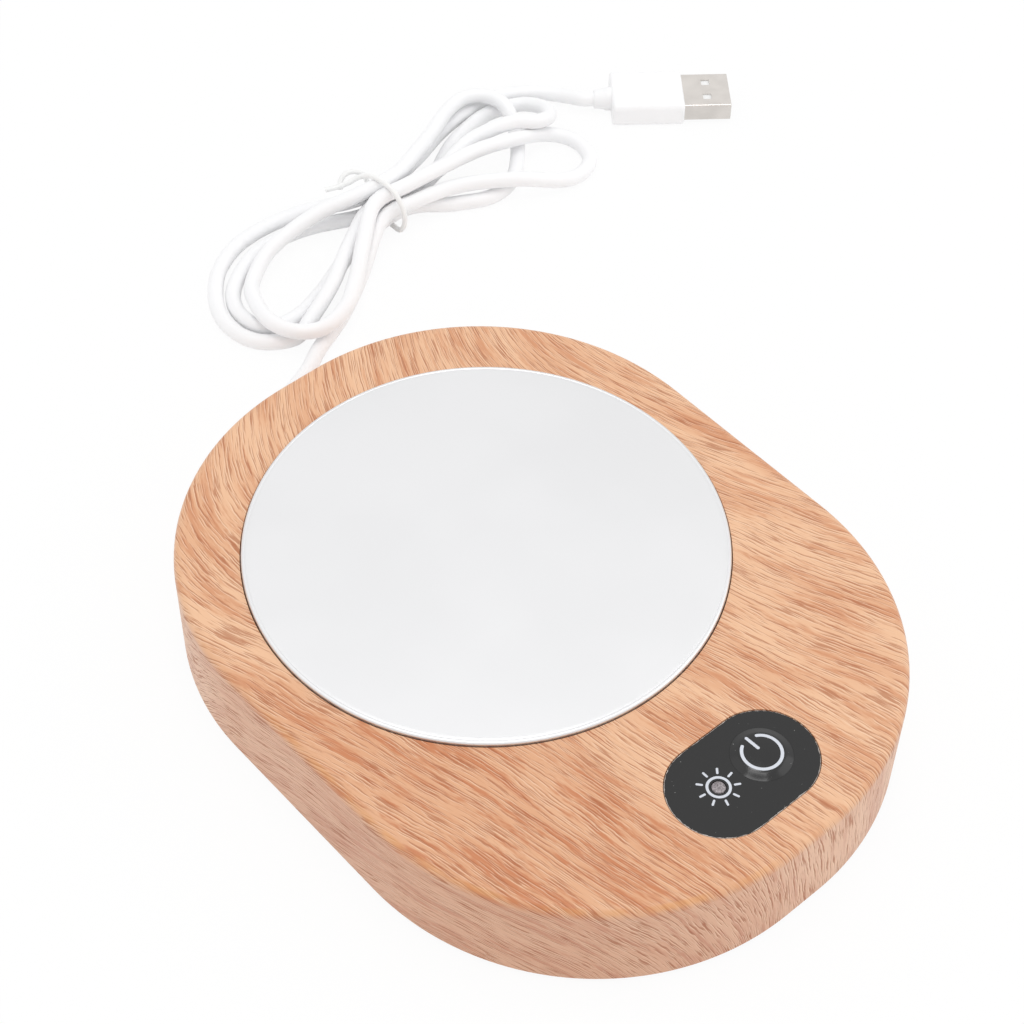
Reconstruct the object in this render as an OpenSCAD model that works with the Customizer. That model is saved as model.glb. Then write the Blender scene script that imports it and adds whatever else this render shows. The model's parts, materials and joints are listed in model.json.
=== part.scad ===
// Electric mug warmer: wood-grain case, round heating plate, one press button,
// a status light, and a bundled supply cord that ends in a plug.
// Millimetres. Origin on the floor under the middle of the case, +Z up,
// +Y towards the heating plate and the cord, the button at the -Y end.

/* [Case] */
// Width of the case
case_w = 112; // [110:0.5:118]
// Length of the case
case_l = 144.5; // [130:0.5:160]
// Radius of the four corners of the outline
corner_r = 52; // [50:0.5:54]
// Height of the case without its feet
case_h = 21.5; // [21:0.5:26]
// Rounding of the upper edge
edge_r = 1.8; // [1:0.1:2]
// Side wall
wall_t = 2.2; // [1.8:0.1:2.4]
// Top wall
top_t = 2.4; // [2.2:0.1:2.8]
// Thickness of the bottom cover
cover_t = 2.4; // [2:0.1:2.8]
// Gap between the bottom cover and the side wall
cover_gap = 0.2; // [0.1:0.05:0.4]

/* [Feet] */
// Diameter of a foot
foot_d = 12; // [8:0.5:13]
// Height by which the feet lift the case
foot_stand = 1; // [0.8:0.1:2]
// Depth of a foot's pocket in the cover
foot_pocket = 1; // [0.6:0.1:1.2]
// Distance of a foot's centre from the side of the case
foot_in_x = 14; // [13:0.5:16]
// Distance of a foot's centre from the end of the case
foot_in_y = 34; // [33:0.5:38]
// Gap round a foot in its pocket
foot_gap = 0.1; // [0.05:0.05:0.3]

/* [Heating plate] */
// Diameter of the heating plate
plate_d = 92.4; // [90:0.2:93]
// Thickness of the heating plate
plate_t = 2; // [1.8:0.1:2.2]
// Height of the plate above the case
plate_proud = 0.8; // [0.5:0.1:1]
// Rounding of the plate's rim
plate_edge_r = 0.8; // [0.4:0.1:0.9]
// Shift of the plate towards the cord end, from the middle of the space behind the panel
plate_shift = 0; // [-0.5:0.1:0.5]
// Gap round the plate in its recess
plate_gap = 0.35; // [0.2:0.05:0.5]
// Thickness of the seal under the plate
gasket_t = 1; // [0.8:0.1:1.2]
// Width of the shelf that carries the plate
shelf_w = 4.5; // [4:0.1:4.6]
// Thickness of that shelf
shelf_t = 2.2; // [2:0.1:2.6]
// Wall of the well round the plate
well_t = 2; // [1.8:0.1:2]
// Thickness of the heating element
heater_t = 1; // [0.6:0.1:1.2]
// Free width between the heating element and the fixing bosses
heater_gap = 0.8; // [0.5:0.1:1.5]
// Diameter of the plate's three fixing bosses
boss_d = 6; // [5.4:0.2:6.4]
// Thickness of the retaining disc
retainer_t = 0.8; // [0.6:0.1:1]
// Width by which the retaining disc reaches under the shelf
retainer_lap = 2; // [1.5:0.1:2.5]
// Diameter of the temperature sensor
sensor_d = 4.8; // [3:0.2:6]

/* [Controls] */
// Radius of the control panel's ends
panel_r = 10; // [9.5:0.25:10.5]
// Distance between the centres of the panel's ends
panel_pitch = 10.6; // [10:0.2:12]
// Thickness of the control panel
panel_t = 1.4; // [1.2:0.1:1.6]
// Depth of the panel's face below the case
panel_sink = 0.1; // [0:0.05:0.3]
// Distance from the panel's centre to the end of the case
panel_edge = 17.65; // [17.5:0.25:19]
// Gap round the panel in its recess
panel_gap = 0.15; // [0.1:0.05:0.3]
// Width of the ledge that carries the panel
ledge_w = 1.6; // [1.2:0.1:1.8]
// Diameter of the power button
button_d = 11.4; // [10.8:0.2:12.2]
// Height of the button's dome above the panel
dome_h = 0.9; // [0.6:0.1:1.4]
// Diameter of the button's flat top
dome_top_d = 8.6; // [8.2:0.2:9.6]
// Shift of the button and the light from the panel's middle towards the plate
control_shift = 0.6; // [0:0.1:1]
// Gap between the button and the panel
button_gap = 0.1; // [0.1:0.05:0.2]
// Width of the button's stop flange
flange_w = 1; // [0.8:0.1:1.2]
// Thickness of that flange
flange_t = 1.2; // [0.8:0.1:1.5]
// Free height between the flange and the panel
stop_gap = 0.1; // [0.05:0.05:0.2]
// Travel of the button
travel = 0.35; // [0.2:0.05:0.4]
// Length of the button's stem
stem_l = 2.2; // [1.8:0.1:3]
// Diameter of the button's stem
stem_d = 4; // [3:0.2:5]
// Outer diameter of the power sign
sign_d = 7.8; // [7.2:0.2:8]
// Line width of the signs
line_w = 0.5; // [0.4:0.05:0.7]
// Depth to which the signs are let in
sign_depth = 0.3; // [0.2:0.05:0.4]
// Diameter of the status light
led_d = 2.6; // [2.2:0.2:3]
// Gap round the status light
led_gap = 0.1; // [0.05:0.05:0.2]
// Outer diameter of the ring round the light
ring_d = 4.6; // [4.5:0.1:4.8]
// Number of rays round the light
ray_count = 9; // [6:1:10]
// Distance of the rays' inner ends from the light's centre
ray_in = 2.95; // [2.8:0.05:3.1]
// Free width between the rays and the button's hole
ray_gap = 0.7; // [0.4:0.05:0.9]

/* [Circuit board] */
// Width of the board
board_w = 38; // [36:0.5:39]
// Length of the board
board_l = 26; // [25.5:0.25:26.5]
// Thickness of the board
board_t = 1.6; // [1.2:0.1:1.8]
// Side of the switch's body
switch_w = 6; // [5:0.25:6.5]
// Height of the switch's body
switch_h = 3.5; // [3:0.1:3.8]
// Diameter of the switch's plunger
plunger_d = 3.5; // [2.5:0.1:4]
// Height of the plunger above the switch's body
plunger_rise = 1.5; // [1:0.1:1.8]
// Gap round the plunger
plunger_gap = 0.1; // [0.1:0.02:0.16]
// Depth to which the plunger reaches into the switch
plunger_in = 1.2; // [0.8:0.1:1.4]
// Distance of a board screw from the board's edges
board_screw_in = 3.2; // [3:0.1:3.6]

/* [Screws] */
// Diameter of the screws' shanks
screw_d = 2.5; // [2:0.1:2.6]
// Diameter of the screws' heads
head_d = 5; // [4.4:0.1:5.2]
// Height of the screws' heads
head_h = 1.5; // [1:0.1:1.6]
// Radial clearance of a shank in its hole
screw_gap = 0.05; // [0.03:0.01:0.1]
// Diameter of the screw posts in the case
post_d = 6.4; // [5.6:0.1:6.4]
// Distance of the cover screws from the side of the case
post_in_x = 22; // [21.5:0.25:23]
// Distance of the cover screws from the end of the case
post_in_y = 18.25; // [18.25:0.25:19]
// Height of the screw bosses on the cover
cover_boss_h = 2; // [1.5:0.1:3]

/* [Cord and plug] */
// Diameter of the cord
cord_d = 3.5; // [3:0.1:3.6]
// Height of the cord's exit above the cover
exit_rise = 2.1; // [2:0.1:3]
// Length of the grommet outside the case
grommet_out = 3; // [2:0.25:5]
// Diameter of the grommet in the case wall
grommet_d = 5.8; // [5.4:0.1:6]
// Height of the grommet's flange round the wall hole
grommet_lip = 0.6; // [0.4:0.1:0.8]
// Distance of the cord clamp from the end of the case
clamp_in = 8.25; // [8:0.25:9]
// Distance between the clamp's two screws
clamp_pitch = 14; // [13:0.5:16]
// Width of the plug's moulded grip
grip_w = 14; // [13:0.5:16]
// Thickness of the grip
grip_h = 6.2; // [5.6:0.1:6.2]
// Length of the grip
grip_l = 17.2; // [14:0.2:24]
// Length of the collar behind the grip
collar_l = 4.1; // [3:0.1:6]
// Diameter of that collar
collar_d = 5.5; // [4:0.1:5.6]
// Width of the plug's metal shell
shell_w = 12;
// Height of the shell
shell_h = 4.5;
// Length of the shell outside the grip
shell_l = 11.1;

/* [Hidden] */
$fn = 64;

// Overlap of shapes that are joined, and overrun of cuts
joint = 0.2;

// Heights of the case
case_bottom = foot_stand;
case_top = case_bottom + case_h;
roof_z = case_top - top_t;
cover_top = case_bottom + cover_t;

// The panel lies near one end, the plate midway between it and the other end
panel_y = panel_edge - case_l / 2;
plate_r = plate_d / 2;
plate_y = (panel_y + panel_r + case_l / 2) / 2 + plate_shift;

// Heating plate stack, from the top down
plate_top = case_top + plate_proud;
plate_under = plate_top - plate_t;
seat_z = plate_under - gasket_t;
shelf_under = seat_z - shelf_t;
retainer_under = shelf_under - retainer_t;
recess_r = plate_r + plate_gap;
well_r = recess_r + well_t;
opening_r = recess_r - shelf_w;
// Clear width round the bosses in the opening
boss_gap = 0.7;
boss_ring_r = opening_r - boss_gap - boss_d / 2;
heater_r = boss_ring_r - boss_d / 2 - heater_gap;
retainer_r = opening_r + retainer_lap;
sensor_hole_r = sensor_d / 2 + 0.3;
sensor_flange_r = sensor_d / 2 + 1.6;
sensor_flange_h = 1.5;
boss_angles = [90, 210, 330];
// Depth of metal left above a boss's pilot hole
boss_cap = 0.6;
lead_hole_r = 3;
lead_hole_y = 12 - heater_r;

// Wires inside the case
heater_wire_r = 0.8;
heater_wire_pitch = 2.4;
sensor_wire_r = 0.5;
sensor_run_x = -10;
sensor_run_l = 20;
supply_wire_r = 0.7;
supply_spread = 3;
wire_gap = 0.8;
wire_lift = 0.3;
wire_bend = 6;
wire_in = 2.4;

// Temperature fuse on the retaining disc
fuse_r = 2;
fuse_l = 11;
fuse_x = 16;
fuse_y = plate_y + 10;
clip_t = 0.5;
clip_w = 4;
fuse_z = retainer_under - fuse_r;

// Controls, from the top down
panel_x = panel_pitch / 2;
control_y = panel_y + control_shift;
panel_top = case_top - panel_sink;
panel_under = panel_top - panel_t;
flange_top = panel_under - stop_gap;
flange_under = flange_top - flange_t;
stem_end = flange_under - stem_l;
switch_top = stem_end - plunger_rise;
board_top = switch_top - switch_h;
board_under = board_top - board_t;
ledge_r = panel_r - ledge_w;
dome_top = panel_top + dome_h;
dome_foot = 0.2;
dome_round = 0.1;
sign_gap = 25;
sign_line = line_w * 1.2;
bar_in = 1;
bar_out = 3.9;
ray_line = line_w * 0.8;
ray_end = panel_pitch - button_d / 2 - button_gap - ray_gap;
led_proud = 0.15;
led_flange_h = 1;
led_base = board_top + 2.4;
led_leg = 0.5;
led_pitch = 1.27;
plunger_floor_gap = 0.1;

// Board and its parts
board_y = panel_y + 2.6;
board_rear = board_y + board_l / 2;
board_screw_x = board_w / 2 - board_screw_in;
board_screw_y = board_l / 2 - board_screw_in;
chip_w = 5;
chip_l = 4;
chip_h = 1.6;
chip_x = -5;
chip_pin_pitch = 1.27;
chip_pin_w = 0.4;
chip_pin_l = 0.8;
chip_pin_h = 0.5;
part_row_in = 6;
part_row_y = board_rear - part_row_in;
transistor_w = 6.5;
transistor_l = 6;
transistor_h = 2.3;
transistor_x = 6;
transistor_pin_x = 2.3;
transistor_pin_w = 0.8;
transistor_pin_l = 1.4;
transistor_pin_h = 0.6;
can_r = 3;
can_h = 5.4;
can_in = 5;
can_x = can_in - board_w / 2;
resistor_w = 1.6;
resistor_l = 0.8;
resistor_h = 0.5;
resistor_pitch = 2.6;
resistor_row_in = 2.6;
resistor_row_gap = 4.4;

// Screw places
hole_r = screw_d / 2 + screw_gap;
post_x = case_w / 2 - post_in_x;
post_y = case_l / 2 - post_in_y;
post_end = cover_top + cover_boss_h;
head_sink = 0.4;
cover_bore_r = head_d / 2 + 0.3;
head_top = case_bottom + head_sink + head_h;
cover_screw_l = 9;
board_screw_l = 6;
clamp_screw_l = 4.5;
pilot_tip = 0.6;
cover_pilot_top = head_top + cover_screw_l + pilot_tip;

// Feet
foot_x = case_w / 2 - foot_in_x;
foot_y = case_l / 2 - foot_in_y;
foot_round = 0.5;

// Cord exit and clamp
exit_z = cover_top + exit_rise;
cord_r = cord_d / 2;
tail_gap = 0.05;
grommet_gap = 0.05;
wall_y = case_l / 2;
inner_y = wall_y - wall_t;
grommet_t = 1.2;
grommet_in_r = grommet_d / 2 + 0.6;
grommet_out_r = grommet_d / 2 + grommet_lip;
grommet_end_r = cord_r + 0.75;
clamp_y = wall_y - clamp_in;
clamp_w = 5;
clamp_end = 3;
clamp_l = clamp_pitch + 2 * clamp_end;
clamp_boss_top = exit_z + 0.1;
clamp_bridge = 1.3;
clamp_top = clamp_boss_top + cord_r + clamp_bridge;
clamp_post_r = 2.6;
tail_free = 8;
tail_in_y = clamp_y - tail_free;
cradle_h = 1.2;
cradle_wall = 0.8;

// Plug, in its own frame: +X towards the contacts, the shell's base at x = 0
plug_base = [137.5, 101, 3.1];
plug_turn = -38.5;
shell_t = 0.3;
shell_in = 4;
shell_hole = 2;
shell_hole_x = 5.6;
shell_hole_y = 2.6;
shell_gap = 0.05;
tongue_h = 1.9;
tongue_l = 9.4;
contact_t = 0.25;
contact_w = 1;
contact_l = 7.4;
contact_pitch = 2.2;
grip_corner = 1.5;
collar_end_r = cord_r + 0.5;

// Route of the cord, from the grommet to the plug's collar
CORD = [
    // out of the case
    [0, 75.25, 5.5], [0, 76.4, 5.5], [0.6, 79, 5.4], [2, 81.3, 5], [4.4, 83.3, 4.3],
    [8.5, 85.3, 3.2], [14, 88.2, 2.2], [20, 92, 1.75],
    [29.5, 96.4, 1.75], [41, 103.6, 2.3], [53, 111, 6.5], [63, 111, 6.5],
    // first loop on the right
    [75, 109, 5.7], [86, 102.5, 5.5], [95.4, 98, 2.8], [101.4, 97.4, 1.75], [106, 99.4, 1.75],
    [108.2, 104.2, 1.75], [107.4, 109.6, 1.75], [103.4, 112.6, 2.8], [95.9, 112.5, 5.9],
    [85, 113.8, 7.8], [73, 113.4, 9.4], [63, 113.2, 10], [53, 113.2, 10],
    // inner loop on the left
    [44.5, 106.8, 8.2], [37, 100.2, 6.2], [30, 95.2, 5.5], [22.2, 93.2, 5.7],
    [16.8, 96.4, 5.9], [14.8, 102.8, 5.8], [17, 110.7, 4.4], [21, 117, 2.8],
    [29.5, 121.4, 4.4], [42, 121.4, 7.2], [53, 117.8, 10], [63, 117.8, 10],
    // second loop on the right
    [73, 122.2, 8.6], [81.2, 126.8, 6.6], [88.9, 131.1, 5.5], [95.3, 132.4, 5.5],
    [99.8, 129.6, 5.6], [101.3, 124.4, 5.3], [99.6, 118.5, 2.6], [94.5, 111.8, 1.75],
    [87.5, 106, 1.75], [80, 105, 1.75], [72, 108.8, 1.75], [63, 113.2, 3.1], [53, 113.2, 3.1],
    // middle loop on the left
    [42, 110.4, 1.9], [31, 105.4, 1.75], [21.7, 102.8, 1.75], [14.9, 105, 1.75],
    [13.3, 110.9, 1.75], [15.5, 117, 1.75], [21.2, 121.8, 1.75], [30, 125.2, 1.75],
    [42, 123.8, 1.75], [53, 117.8, 3.1], [63, 117.8, 3.1],
    // third loop on the right
    [74, 118.8, 2], [85, 124.6, 1.75], [95.6, 127.6, 1.75], [102, 127.2, 1.75],
    [107.3, 124.4, 2.4], [108.8, 118.6, 4.1], [106, 113.8, 6], [101.1, 112.8, 7.8],
    [95.6, 115.8, 8.5], [86, 118.8, 6.6], [74, 116.2, 5.9], [63, 115.5, 6.5], [53, 115.5, 6.5],
    // outer loop on the left
    [42, 109.3, 6], [32.5, 103, 5.3], [24, 99.4, 3.4], [18.2, 98, 1.75], [12.4, 101.1, 1.75],
    [9.6, 106.3, 1.75], [9.6, 112.8, 1.75], [12.7, 119.7, 1.75], [19.2, 126.4, 1.75],
    [29.3, 130.2, 1.75], [42, 128.2, 3], [53, 120, 6.5], [63, 120, 6.5],
    // lead to the plug
    [74, 123.8, 4.6], [86, 129.8, 1.9], [96, 131.6, 1.75], [104.6, 131.1, 1.75],
    [111.7, 127.5, 1.75], [116.6, 121.4, 2.1], [118.6, 116.2, 3.1], [120.8, 114.3, 3.1]
];

// Route of the wire that ties the bundle
tie_r = 0.6;
TIE = [
    [48.2, 125.2, 8.6], [50.6, 124, 8.9], [52.8, 122.8, 9.6], [54.8, 121.6, 10.9],
    [56.2, 119.4, 12.2], [56.9, 116.6, 12.6], [57.1, 113.6, 12.6], [57.2, 111, 11.8],
    [57.2, 108.6, 9.4], [57.2, 107.9, 6.5], [57.3, 108.5, 3.6], [57.5, 110.3, 1.3],
    [57.8, 113.2, 0.61], [58.1, 117.8, 0.61], [58.4, 120.4, 1.3], [58.6, 122.4, 4],
    [58.5, 123, 7], [57.6, 123.6, 9.2], [56, 124.6, 10.1], [54.2, 125.4, 9.8],
    [52.6, 125.2, 8.7], [51.6, 124, 7.7]
];

// ---- Shared shapes ----

function unit(v) = v / norm(v);

// Direction of a route at point i
function heading(p, i) =
    i == 0 ? unit(p[1] - p[0]) :
    i == len(p) - 1 ? unit(p[i] - p[i - 1]) :
    unit(unit(p[i + 1] - p[i]) + unit(p[i] - p[i - 1]));

// Ring of corners round point i; ref is a direction the route never follows
function ring_at(p, i, r, sides, ref) =
    let (t = heading(p, i), s = unit(cross(ref, t)), u = cross(t, s))
    [for (k = [0 : sides - 1]) p[i] + r * (cos(360 * k / sides) * s + sin(360 * k / sides) * u)];

// Round tube swept along a route
module tube(p, r, sides = 8, ref = [0, 0, 1]) {
    last = len(p) - 1;
    corners = [for (i = [0 : last]) each ring_at(p, i, r, sides, ref)];
    walls = [
        for (i = [0 : last - 1], k = [0 : sides - 1])
            let (a = i * sides + k, b = i * sides + (k + 1) % sides)
            each [[a, a + sides, b], [b, a + sides, b + sides]]
    ];
    start = [[for (k = [0 : sides - 1]) k]];
    end = [[for (k = [sides - 1 : -1 : 0]) last * sides + k]];
    polyhedron(points = corners, faces = concat(start, walls, end), convexity = 10);
}

// Outline of the case, drawn in by a given margin
module outline(inset) {
    w = case_w - 2 * inset;
    l = case_l - 2 * inset;
    r = corner_r - inset;
    square([w, l - 2 * r], center = true);
    square([w - 2 * r, l], center = true);
    for (x = [-1, 1], y = [-1, 1])
        translate([x * (w / 2 - r), y * (l / 2 - r)])
            circle(r = r, $fn = 180);
}

// Stadium along X for the panel and its recess
module stadium(r) {
    square([panel_pitch, 2 * r], center = true);
    for (x = [-panel_x, panel_x])
        translate([x, 0])
            circle(r = r);
}

// Things at the four mirrored corners (x, y)
module four_corners(x, y) {
    for (i = [-1, 1], j = [-1, 1])
        translate([i * x, j * y, 0])
            children();
}

// Pan-head screw, head down, shank up, its head's seat at z = 0
module screw(shank, length) {
    difference() {
        translate([0, 0, -head_h])
            cylinder(d = head_d, h = head_h);
        translate([0, 0, -head_h - joint])
            cylinder(r = head_d / 5, h = head_h / 2 + joint, $fn = 6);
    }
    translate([0, 0, -joint])
        cylinder(r = shank, h = length + joint);
}

module at_panel() {
    translate([0, panel_y, 0])
        children();
}

module at_plate() {
    translate([0, plate_y, 0])
        children();
}

module at_bosses() {
    for (a = boss_angles)
        translate([boss_ring_r * cos(a), plate_y + boss_ring_r * sin(a), 0])
            children();
}

module at_board_screws() {
    translate([0, board_y, 0])
        four_corners(board_screw_x, board_screw_y)
            children();
}

module at_clamp_screws() {
    for (x = [-1, 1])
        translate([x * clamp_pitch / 2, clamp_y, 0])
            children();
}

// A cylinder along Y from y0 to y1 at the height of the cord's exit
module exit_rod(r, y0, y1) {
    translate([0, y0, exit_z])
        rotate([-90, 0, 0])
            cylinder(r = r, h = y1 - y0);
}

// ---- Case ----

// Outer block of the case with its rounded upper edge
module case_block() {
    r = corner_r - edge_r;
    z = case_h - edge_r;
    arc = [for (a = [0 : 18 : 90]) [r + edge_r * cos(a), z + edge_r * sin(a)]];
    translate([0, 0, case_bottom])
        hull()
            four_corners(case_w / 2 - corner_r, case_l / 2 - corner_r)
                rotate_extrude($fn = 96)
                    polygon(concat([[0, 0], [corner_r, 0]], arc, [[0, case_h]]));
}

module case_cavity() {
    translate([0, 0, case_bottom - joint])
        linear_extrude(roof_z - case_bottom + joint)
            outline(wall_t);
}

module housing() {
    color("burlywood")
    difference() {
        union() {
            difference() {
                case_block();
                case_cavity();
            }
            // well that carries the heating plate
            at_plate()
                translate([0, 0, shelf_under])
                    cylinder(r = well_r, h = roof_z - shelf_under + joint, $fn = 128);
            // posts for the cover screws
            four_corners(post_x, post_y)
                translate([0, 0, post_end])
                    cylinder(d = post_d, h = roof_z - post_end + joint);
            // posts for the board screws
            at_board_screws()
                translate([0, 0, board_top])
                    cylinder(d = head_d, h = roof_z - board_top + joint);
        }
        // recess for the plate and the opening under it
        at_plate() {
            translate([0, 0, seat_z])
                cylinder(r = recess_r, h = case_top - seat_z + joint, $fn = 128);
            translate([0, 0, shelf_under - joint])
                cylinder(r = opening_r, h = shelf_t + 2 * joint, $fn = 128);
        }
        // recess for the panel and the opening under it
        at_panel() {
            translate([0, 0, panel_under])
                linear_extrude(case_top - panel_under + joint)
                    stadium(panel_r + panel_gap);
            translate([0, 0, roof_z - joint])
                linear_extrude(top_t)
                    stadium(ledge_r);
        }
        // pilot holes
        four_corners(post_x, post_y)
            translate([0, 0, post_end - joint])
                cylinder(r = hole_r, h = cover_pilot_top - post_end + joint);
        at_board_screws()
            translate([0, 0, board_top - joint])
                cylinder(r = hole_r, h = board_screw_l - board_t + pilot_tip + joint);
        // hole for the grommet
        exit_rod(grommet_d / 2 + grommet_gap, inner_y - wall_t, wall_y + wall_t);
    }
}

module bottom_cover() {
    color("tan")
    difference() {
        union() {
            translate([0, 0, case_bottom])
                linear_extrude(cover_t)
                    outline(wall_t + cover_gap);
            four_corners(post_x, post_y)
                translate([0, 0, cover_top - joint])
                    cylinder(d = post_d, h = cover_boss_h + joint);
            at_clamp_screws()
                translate([0, 0, cover_top - joint])
                    cylinder(r = clamp_post_r, h = clamp_boss_top - cover_top + joint);
            // cradle under the cord
            translate([-cord_r - cradle_wall, clamp_y - clamp_w / 2, cover_top - joint])
                cube([cord_d + 2 * cradle_wall, clamp_w, cradle_h + joint]);
        }
        four_corners(post_x, post_y) {
            translate([0, 0, case_bottom - joint])
                cylinder(r = cover_bore_r, h = head_top - case_bottom + joint);
            translate([0, 0, case_bottom])
                cylinder(r = hole_r, h = cover_t + cover_boss_h + joint);
        }
        four_corners(foot_x, foot_y)
            translate([0, 0, case_bottom - joint])
                cylinder(d = foot_d + 2 * foot_gap, h = foot_pocket + joint);
        at_clamp_screws()
            translate([0, 0, clamp_top - clamp_screw_l - pilot_tip])
                cylinder(r = hole_r, h = clamp_screw_l + pilot_tip);
        exit_rod(cord_r + tail_gap, clamp_y - clamp_w, clamp_y + clamp_w);
        // room for the grommet's inner flange
        exit_rod(grommet_in_r + cover_gap, inner_y - grommet_t - 2 * cover_gap, wall_y);
    }
}

module cover_screws() {
    color("silver")
    four_corners(post_x, post_y)
        translate([0, 0, head_top])
            screw(screw_d / 2, cover_screw_l);
}

module rubber_feet() {
    color("dimgray")
    four_corners(foot_x, foot_y)
        rotate_extrude()
            polygon([
                [0, 0], [foot_d / 2 - foot_round, 0], [foot_d / 2, foot_round],
                [foot_d / 2, foot_stand + foot_pocket], [0, foot_stand + foot_pocket]
            ]);
}

// ---- Heating plate ----

module heating_plate() {
    r = plate_r - plate_edge_r;
    z = plate_t - plate_edge_r;
    arc = [for (a = [0 : 15 : 90]) [r + plate_edge_r * cos(a), z + plate_edge_r * sin(a)]];
    color("gainsboro") {
        difference() {
            union() {
                at_plate()
                    translate([0, 0, plate_under])
                        rotate_extrude($fn = 128)
                            polygon(concat([[0, 0], [plate_r, 0]], arc, [[0, plate_t]]));
                at_bosses()
                    translate([0, 0, shelf_under])
                        cylinder(d = boss_d, h = plate_under - shelf_under + joint);
            }
            at_bosses()
                translate([0, 0, shelf_under - joint])
                    cylinder(r = hole_r, h = plate_under - shelf_under - boss_cap + joint);
        }
    }
}

module plate_gasket() {
    color("dimgray")
    at_plate()
        translate([0, 0, seat_z])
            difference() {
                cylinder(r = plate_r, h = gasket_t, $fn = 128);
                translate([0, 0, -joint])
                    cylinder(r = opening_r, h = gasket_t + 2 * joint, $fn = 128);
            }
}

// Round layer of the heater stack, with the sensor's hole and the lead hole
module heater_layer(r, z, t) {
    at_plate()
        translate([0, 0, z])
            difference() {
                cylinder(r = r, h = t, $fn = 128);
                translate([0, 0, -joint])
                    cylinder(r = sensor_hole_r, h = t + 2 * joint);
                children();
            }
}

module lead_hole(t) {
    translate([0, lead_hole_y, -joint])
        cylinder(r = lead_hole_r, h = t + 2 * joint);
}

module heater_element() {
    color("saddlebrown")
    heater_layer(heater_r, plate_under - heater_t, heater_t);
}

module insulation_pad() {
    color("whitesmoke")
    heater_layer(heater_r, shelf_under, plate_under - heater_t - shelf_under)
        lead_hole(plate_under - heater_t - shelf_under);
}

module heater_retainer() {
    color("lightgray")
    difference() {
        heater_layer(retainer_r, retainer_under, retainer_t)
            lead_hole(retainer_t);
        at_bosses()
            translate([0, 0, retainer_under - joint])
                cylinder(r = hole_r, h = retainer_t + 2 * joint);
    }
}

module retainer_screws() {
    color("silver")
    at_bosses()
        translate([0, 0, retainer_under])
            screw(screw_d / 2, plate_under - boss_cap - pilot_tip - retainer_under);
}

module temperature_sensor() {
    color("peru")
    at_plate() {
        translate([0, 0, retainer_under - sensor_flange_h])
            cylinder(r = sensor_flange_r, h = sensor_flange_h);
        translate([0, 0, retainer_under - joint])
            cylinder(d = sensor_d, h = plate_under - retainer_under + joint);
    }
}

module thermal_fuse() {
    color("ivory")
    translate([fuse_x - fuse_l / 2, fuse_y, fuse_z])
        rotate([0, 90, 0])
            cylinder(r = fuse_r, h = fuse_l);
}

// Strap that holds the fuse against the retaining disc
module fuse_clip() {
    hold = fuse_r + tail_gap;
    color("silver")
    translate([fuse_x - clip_w / 2, fuse_y, 0])
        difference() {
            union() {
                translate([0, 0, fuse_z])
                    rotate([0, 90, 0])
                        cylinder(r = hold + clip_t, h = clip_w);
                translate([0, -hold - clip_t, fuse_z])
                    cube([clip_w, 2 * (hold + clip_t), retainer_under - fuse_z]);
                translate([0, -hold - clip_w, retainer_under - clip_t])
                    cube([clip_w, 2 * (hold + clip_w), clip_t]);
            }
            translate([-joint, 0, fuse_z])
                rotate([0, 90, 0])
                    cylinder(r = hold, h = clip_w + 2 * joint);
            translate([-joint, -hold, fuse_z])
                cube([clip_w + 2 * joint, 2 * hold, retainer_under - fuse_z + joint]);
            translate([-joint, -hold - clip_w, retainer_under])
                cube([clip_w + 2 * joint, 2 * (hold + clip_w), 2 * clip_t]);
        }
}

// Wires down through the lead hole and over to the board
module heater_leads() {
    r = heater_wire_r;
    down = plate_y + lead_hole_y;
    color("firebrick")
    for (x = [-heater_wire_pitch / 2, heater_wire_pitch / 2])
        tube([
            [x, down, plate_under - heater_t], [x, down, retainer_under - r],
            [x, down - 2 * r, retainer_under - 4 * r], [x, down - 5 * r, retainer_under - 5 * r],
            [x, board_rear, board_top + 4 * r], [x, board_rear - wire_in, board_top + 3 * r],
            [x, board_rear - wire_in, board_top]
        ], r, ref = [1, 0, 0]);
}

// Wires from the sensor, past the lead hole and over to the board
module sensor_leads() {
    r = sensor_wire_r;
    start = retainer_under - sensor_flange_h;
    color("black")
    for (side = [-wire_gap, wire_gap]) {
        x = sensor_run_x + side;
        tube([
            [side, plate_y, start], [side, plate_y, start - 2 * r],
            [side, plate_y - 4 * r, start - 5 * r], [x, plate_y - sensor_run_l, start - 5 * r],
            [x, board_rear, board_top + 4 * r], [x, board_rear - wire_in, board_top + 3 * r],
            [x, board_rear - wire_in, board_top]
        ], r, ref = [1, 0, 0]);
    }
}

// ---- Controls ----

// Sign with round line ends between two points
module stroke(a, b, w) {
    d = b - a;
    translate(a)
        rotate(atan2(d[1], d[0]))
            translate([0, -w / 2])
                square([norm(d), w]);
    for (p = [a, b])
        translate(p)
            circle(d = w, $fn = 24);
}

// Power sign: an open ring with a bar in its gap
module power_sign() {
    mid = (sign_d - sign_line) / 2;
    difference() {
        circle(d = sign_d);
        circle(d = sign_d - 2 * sign_line);
        polygon([
            [0, 0], 2 * sign_d * [cos(90 + sign_gap), sin(90 + sign_gap)],
            2 * sign_d * [cos(90 - sign_gap), sin(90 - sign_gap)]
        ]);
    }
    for (a = [90 - sign_gap, 90 + sign_gap])
        translate(mid * [cos(a), sin(a)])
            circle(d = sign_line, $fn = 24);
    stroke([0, bar_in], [0, bar_out], sign_line);
}

// Sun sign: a ring and rays round the status light
module sun_sign() {
    difference() {
        circle(d = ring_d);
        circle(d = ring_d - 2 * line_w);
    }
    for (k = [0 : ray_count - 1])
        rotate(90 + 360 * k / ray_count)
            stroke([ray_in, 0], [ray_end - ray_line / 2, 0], ray_line);
}

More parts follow.
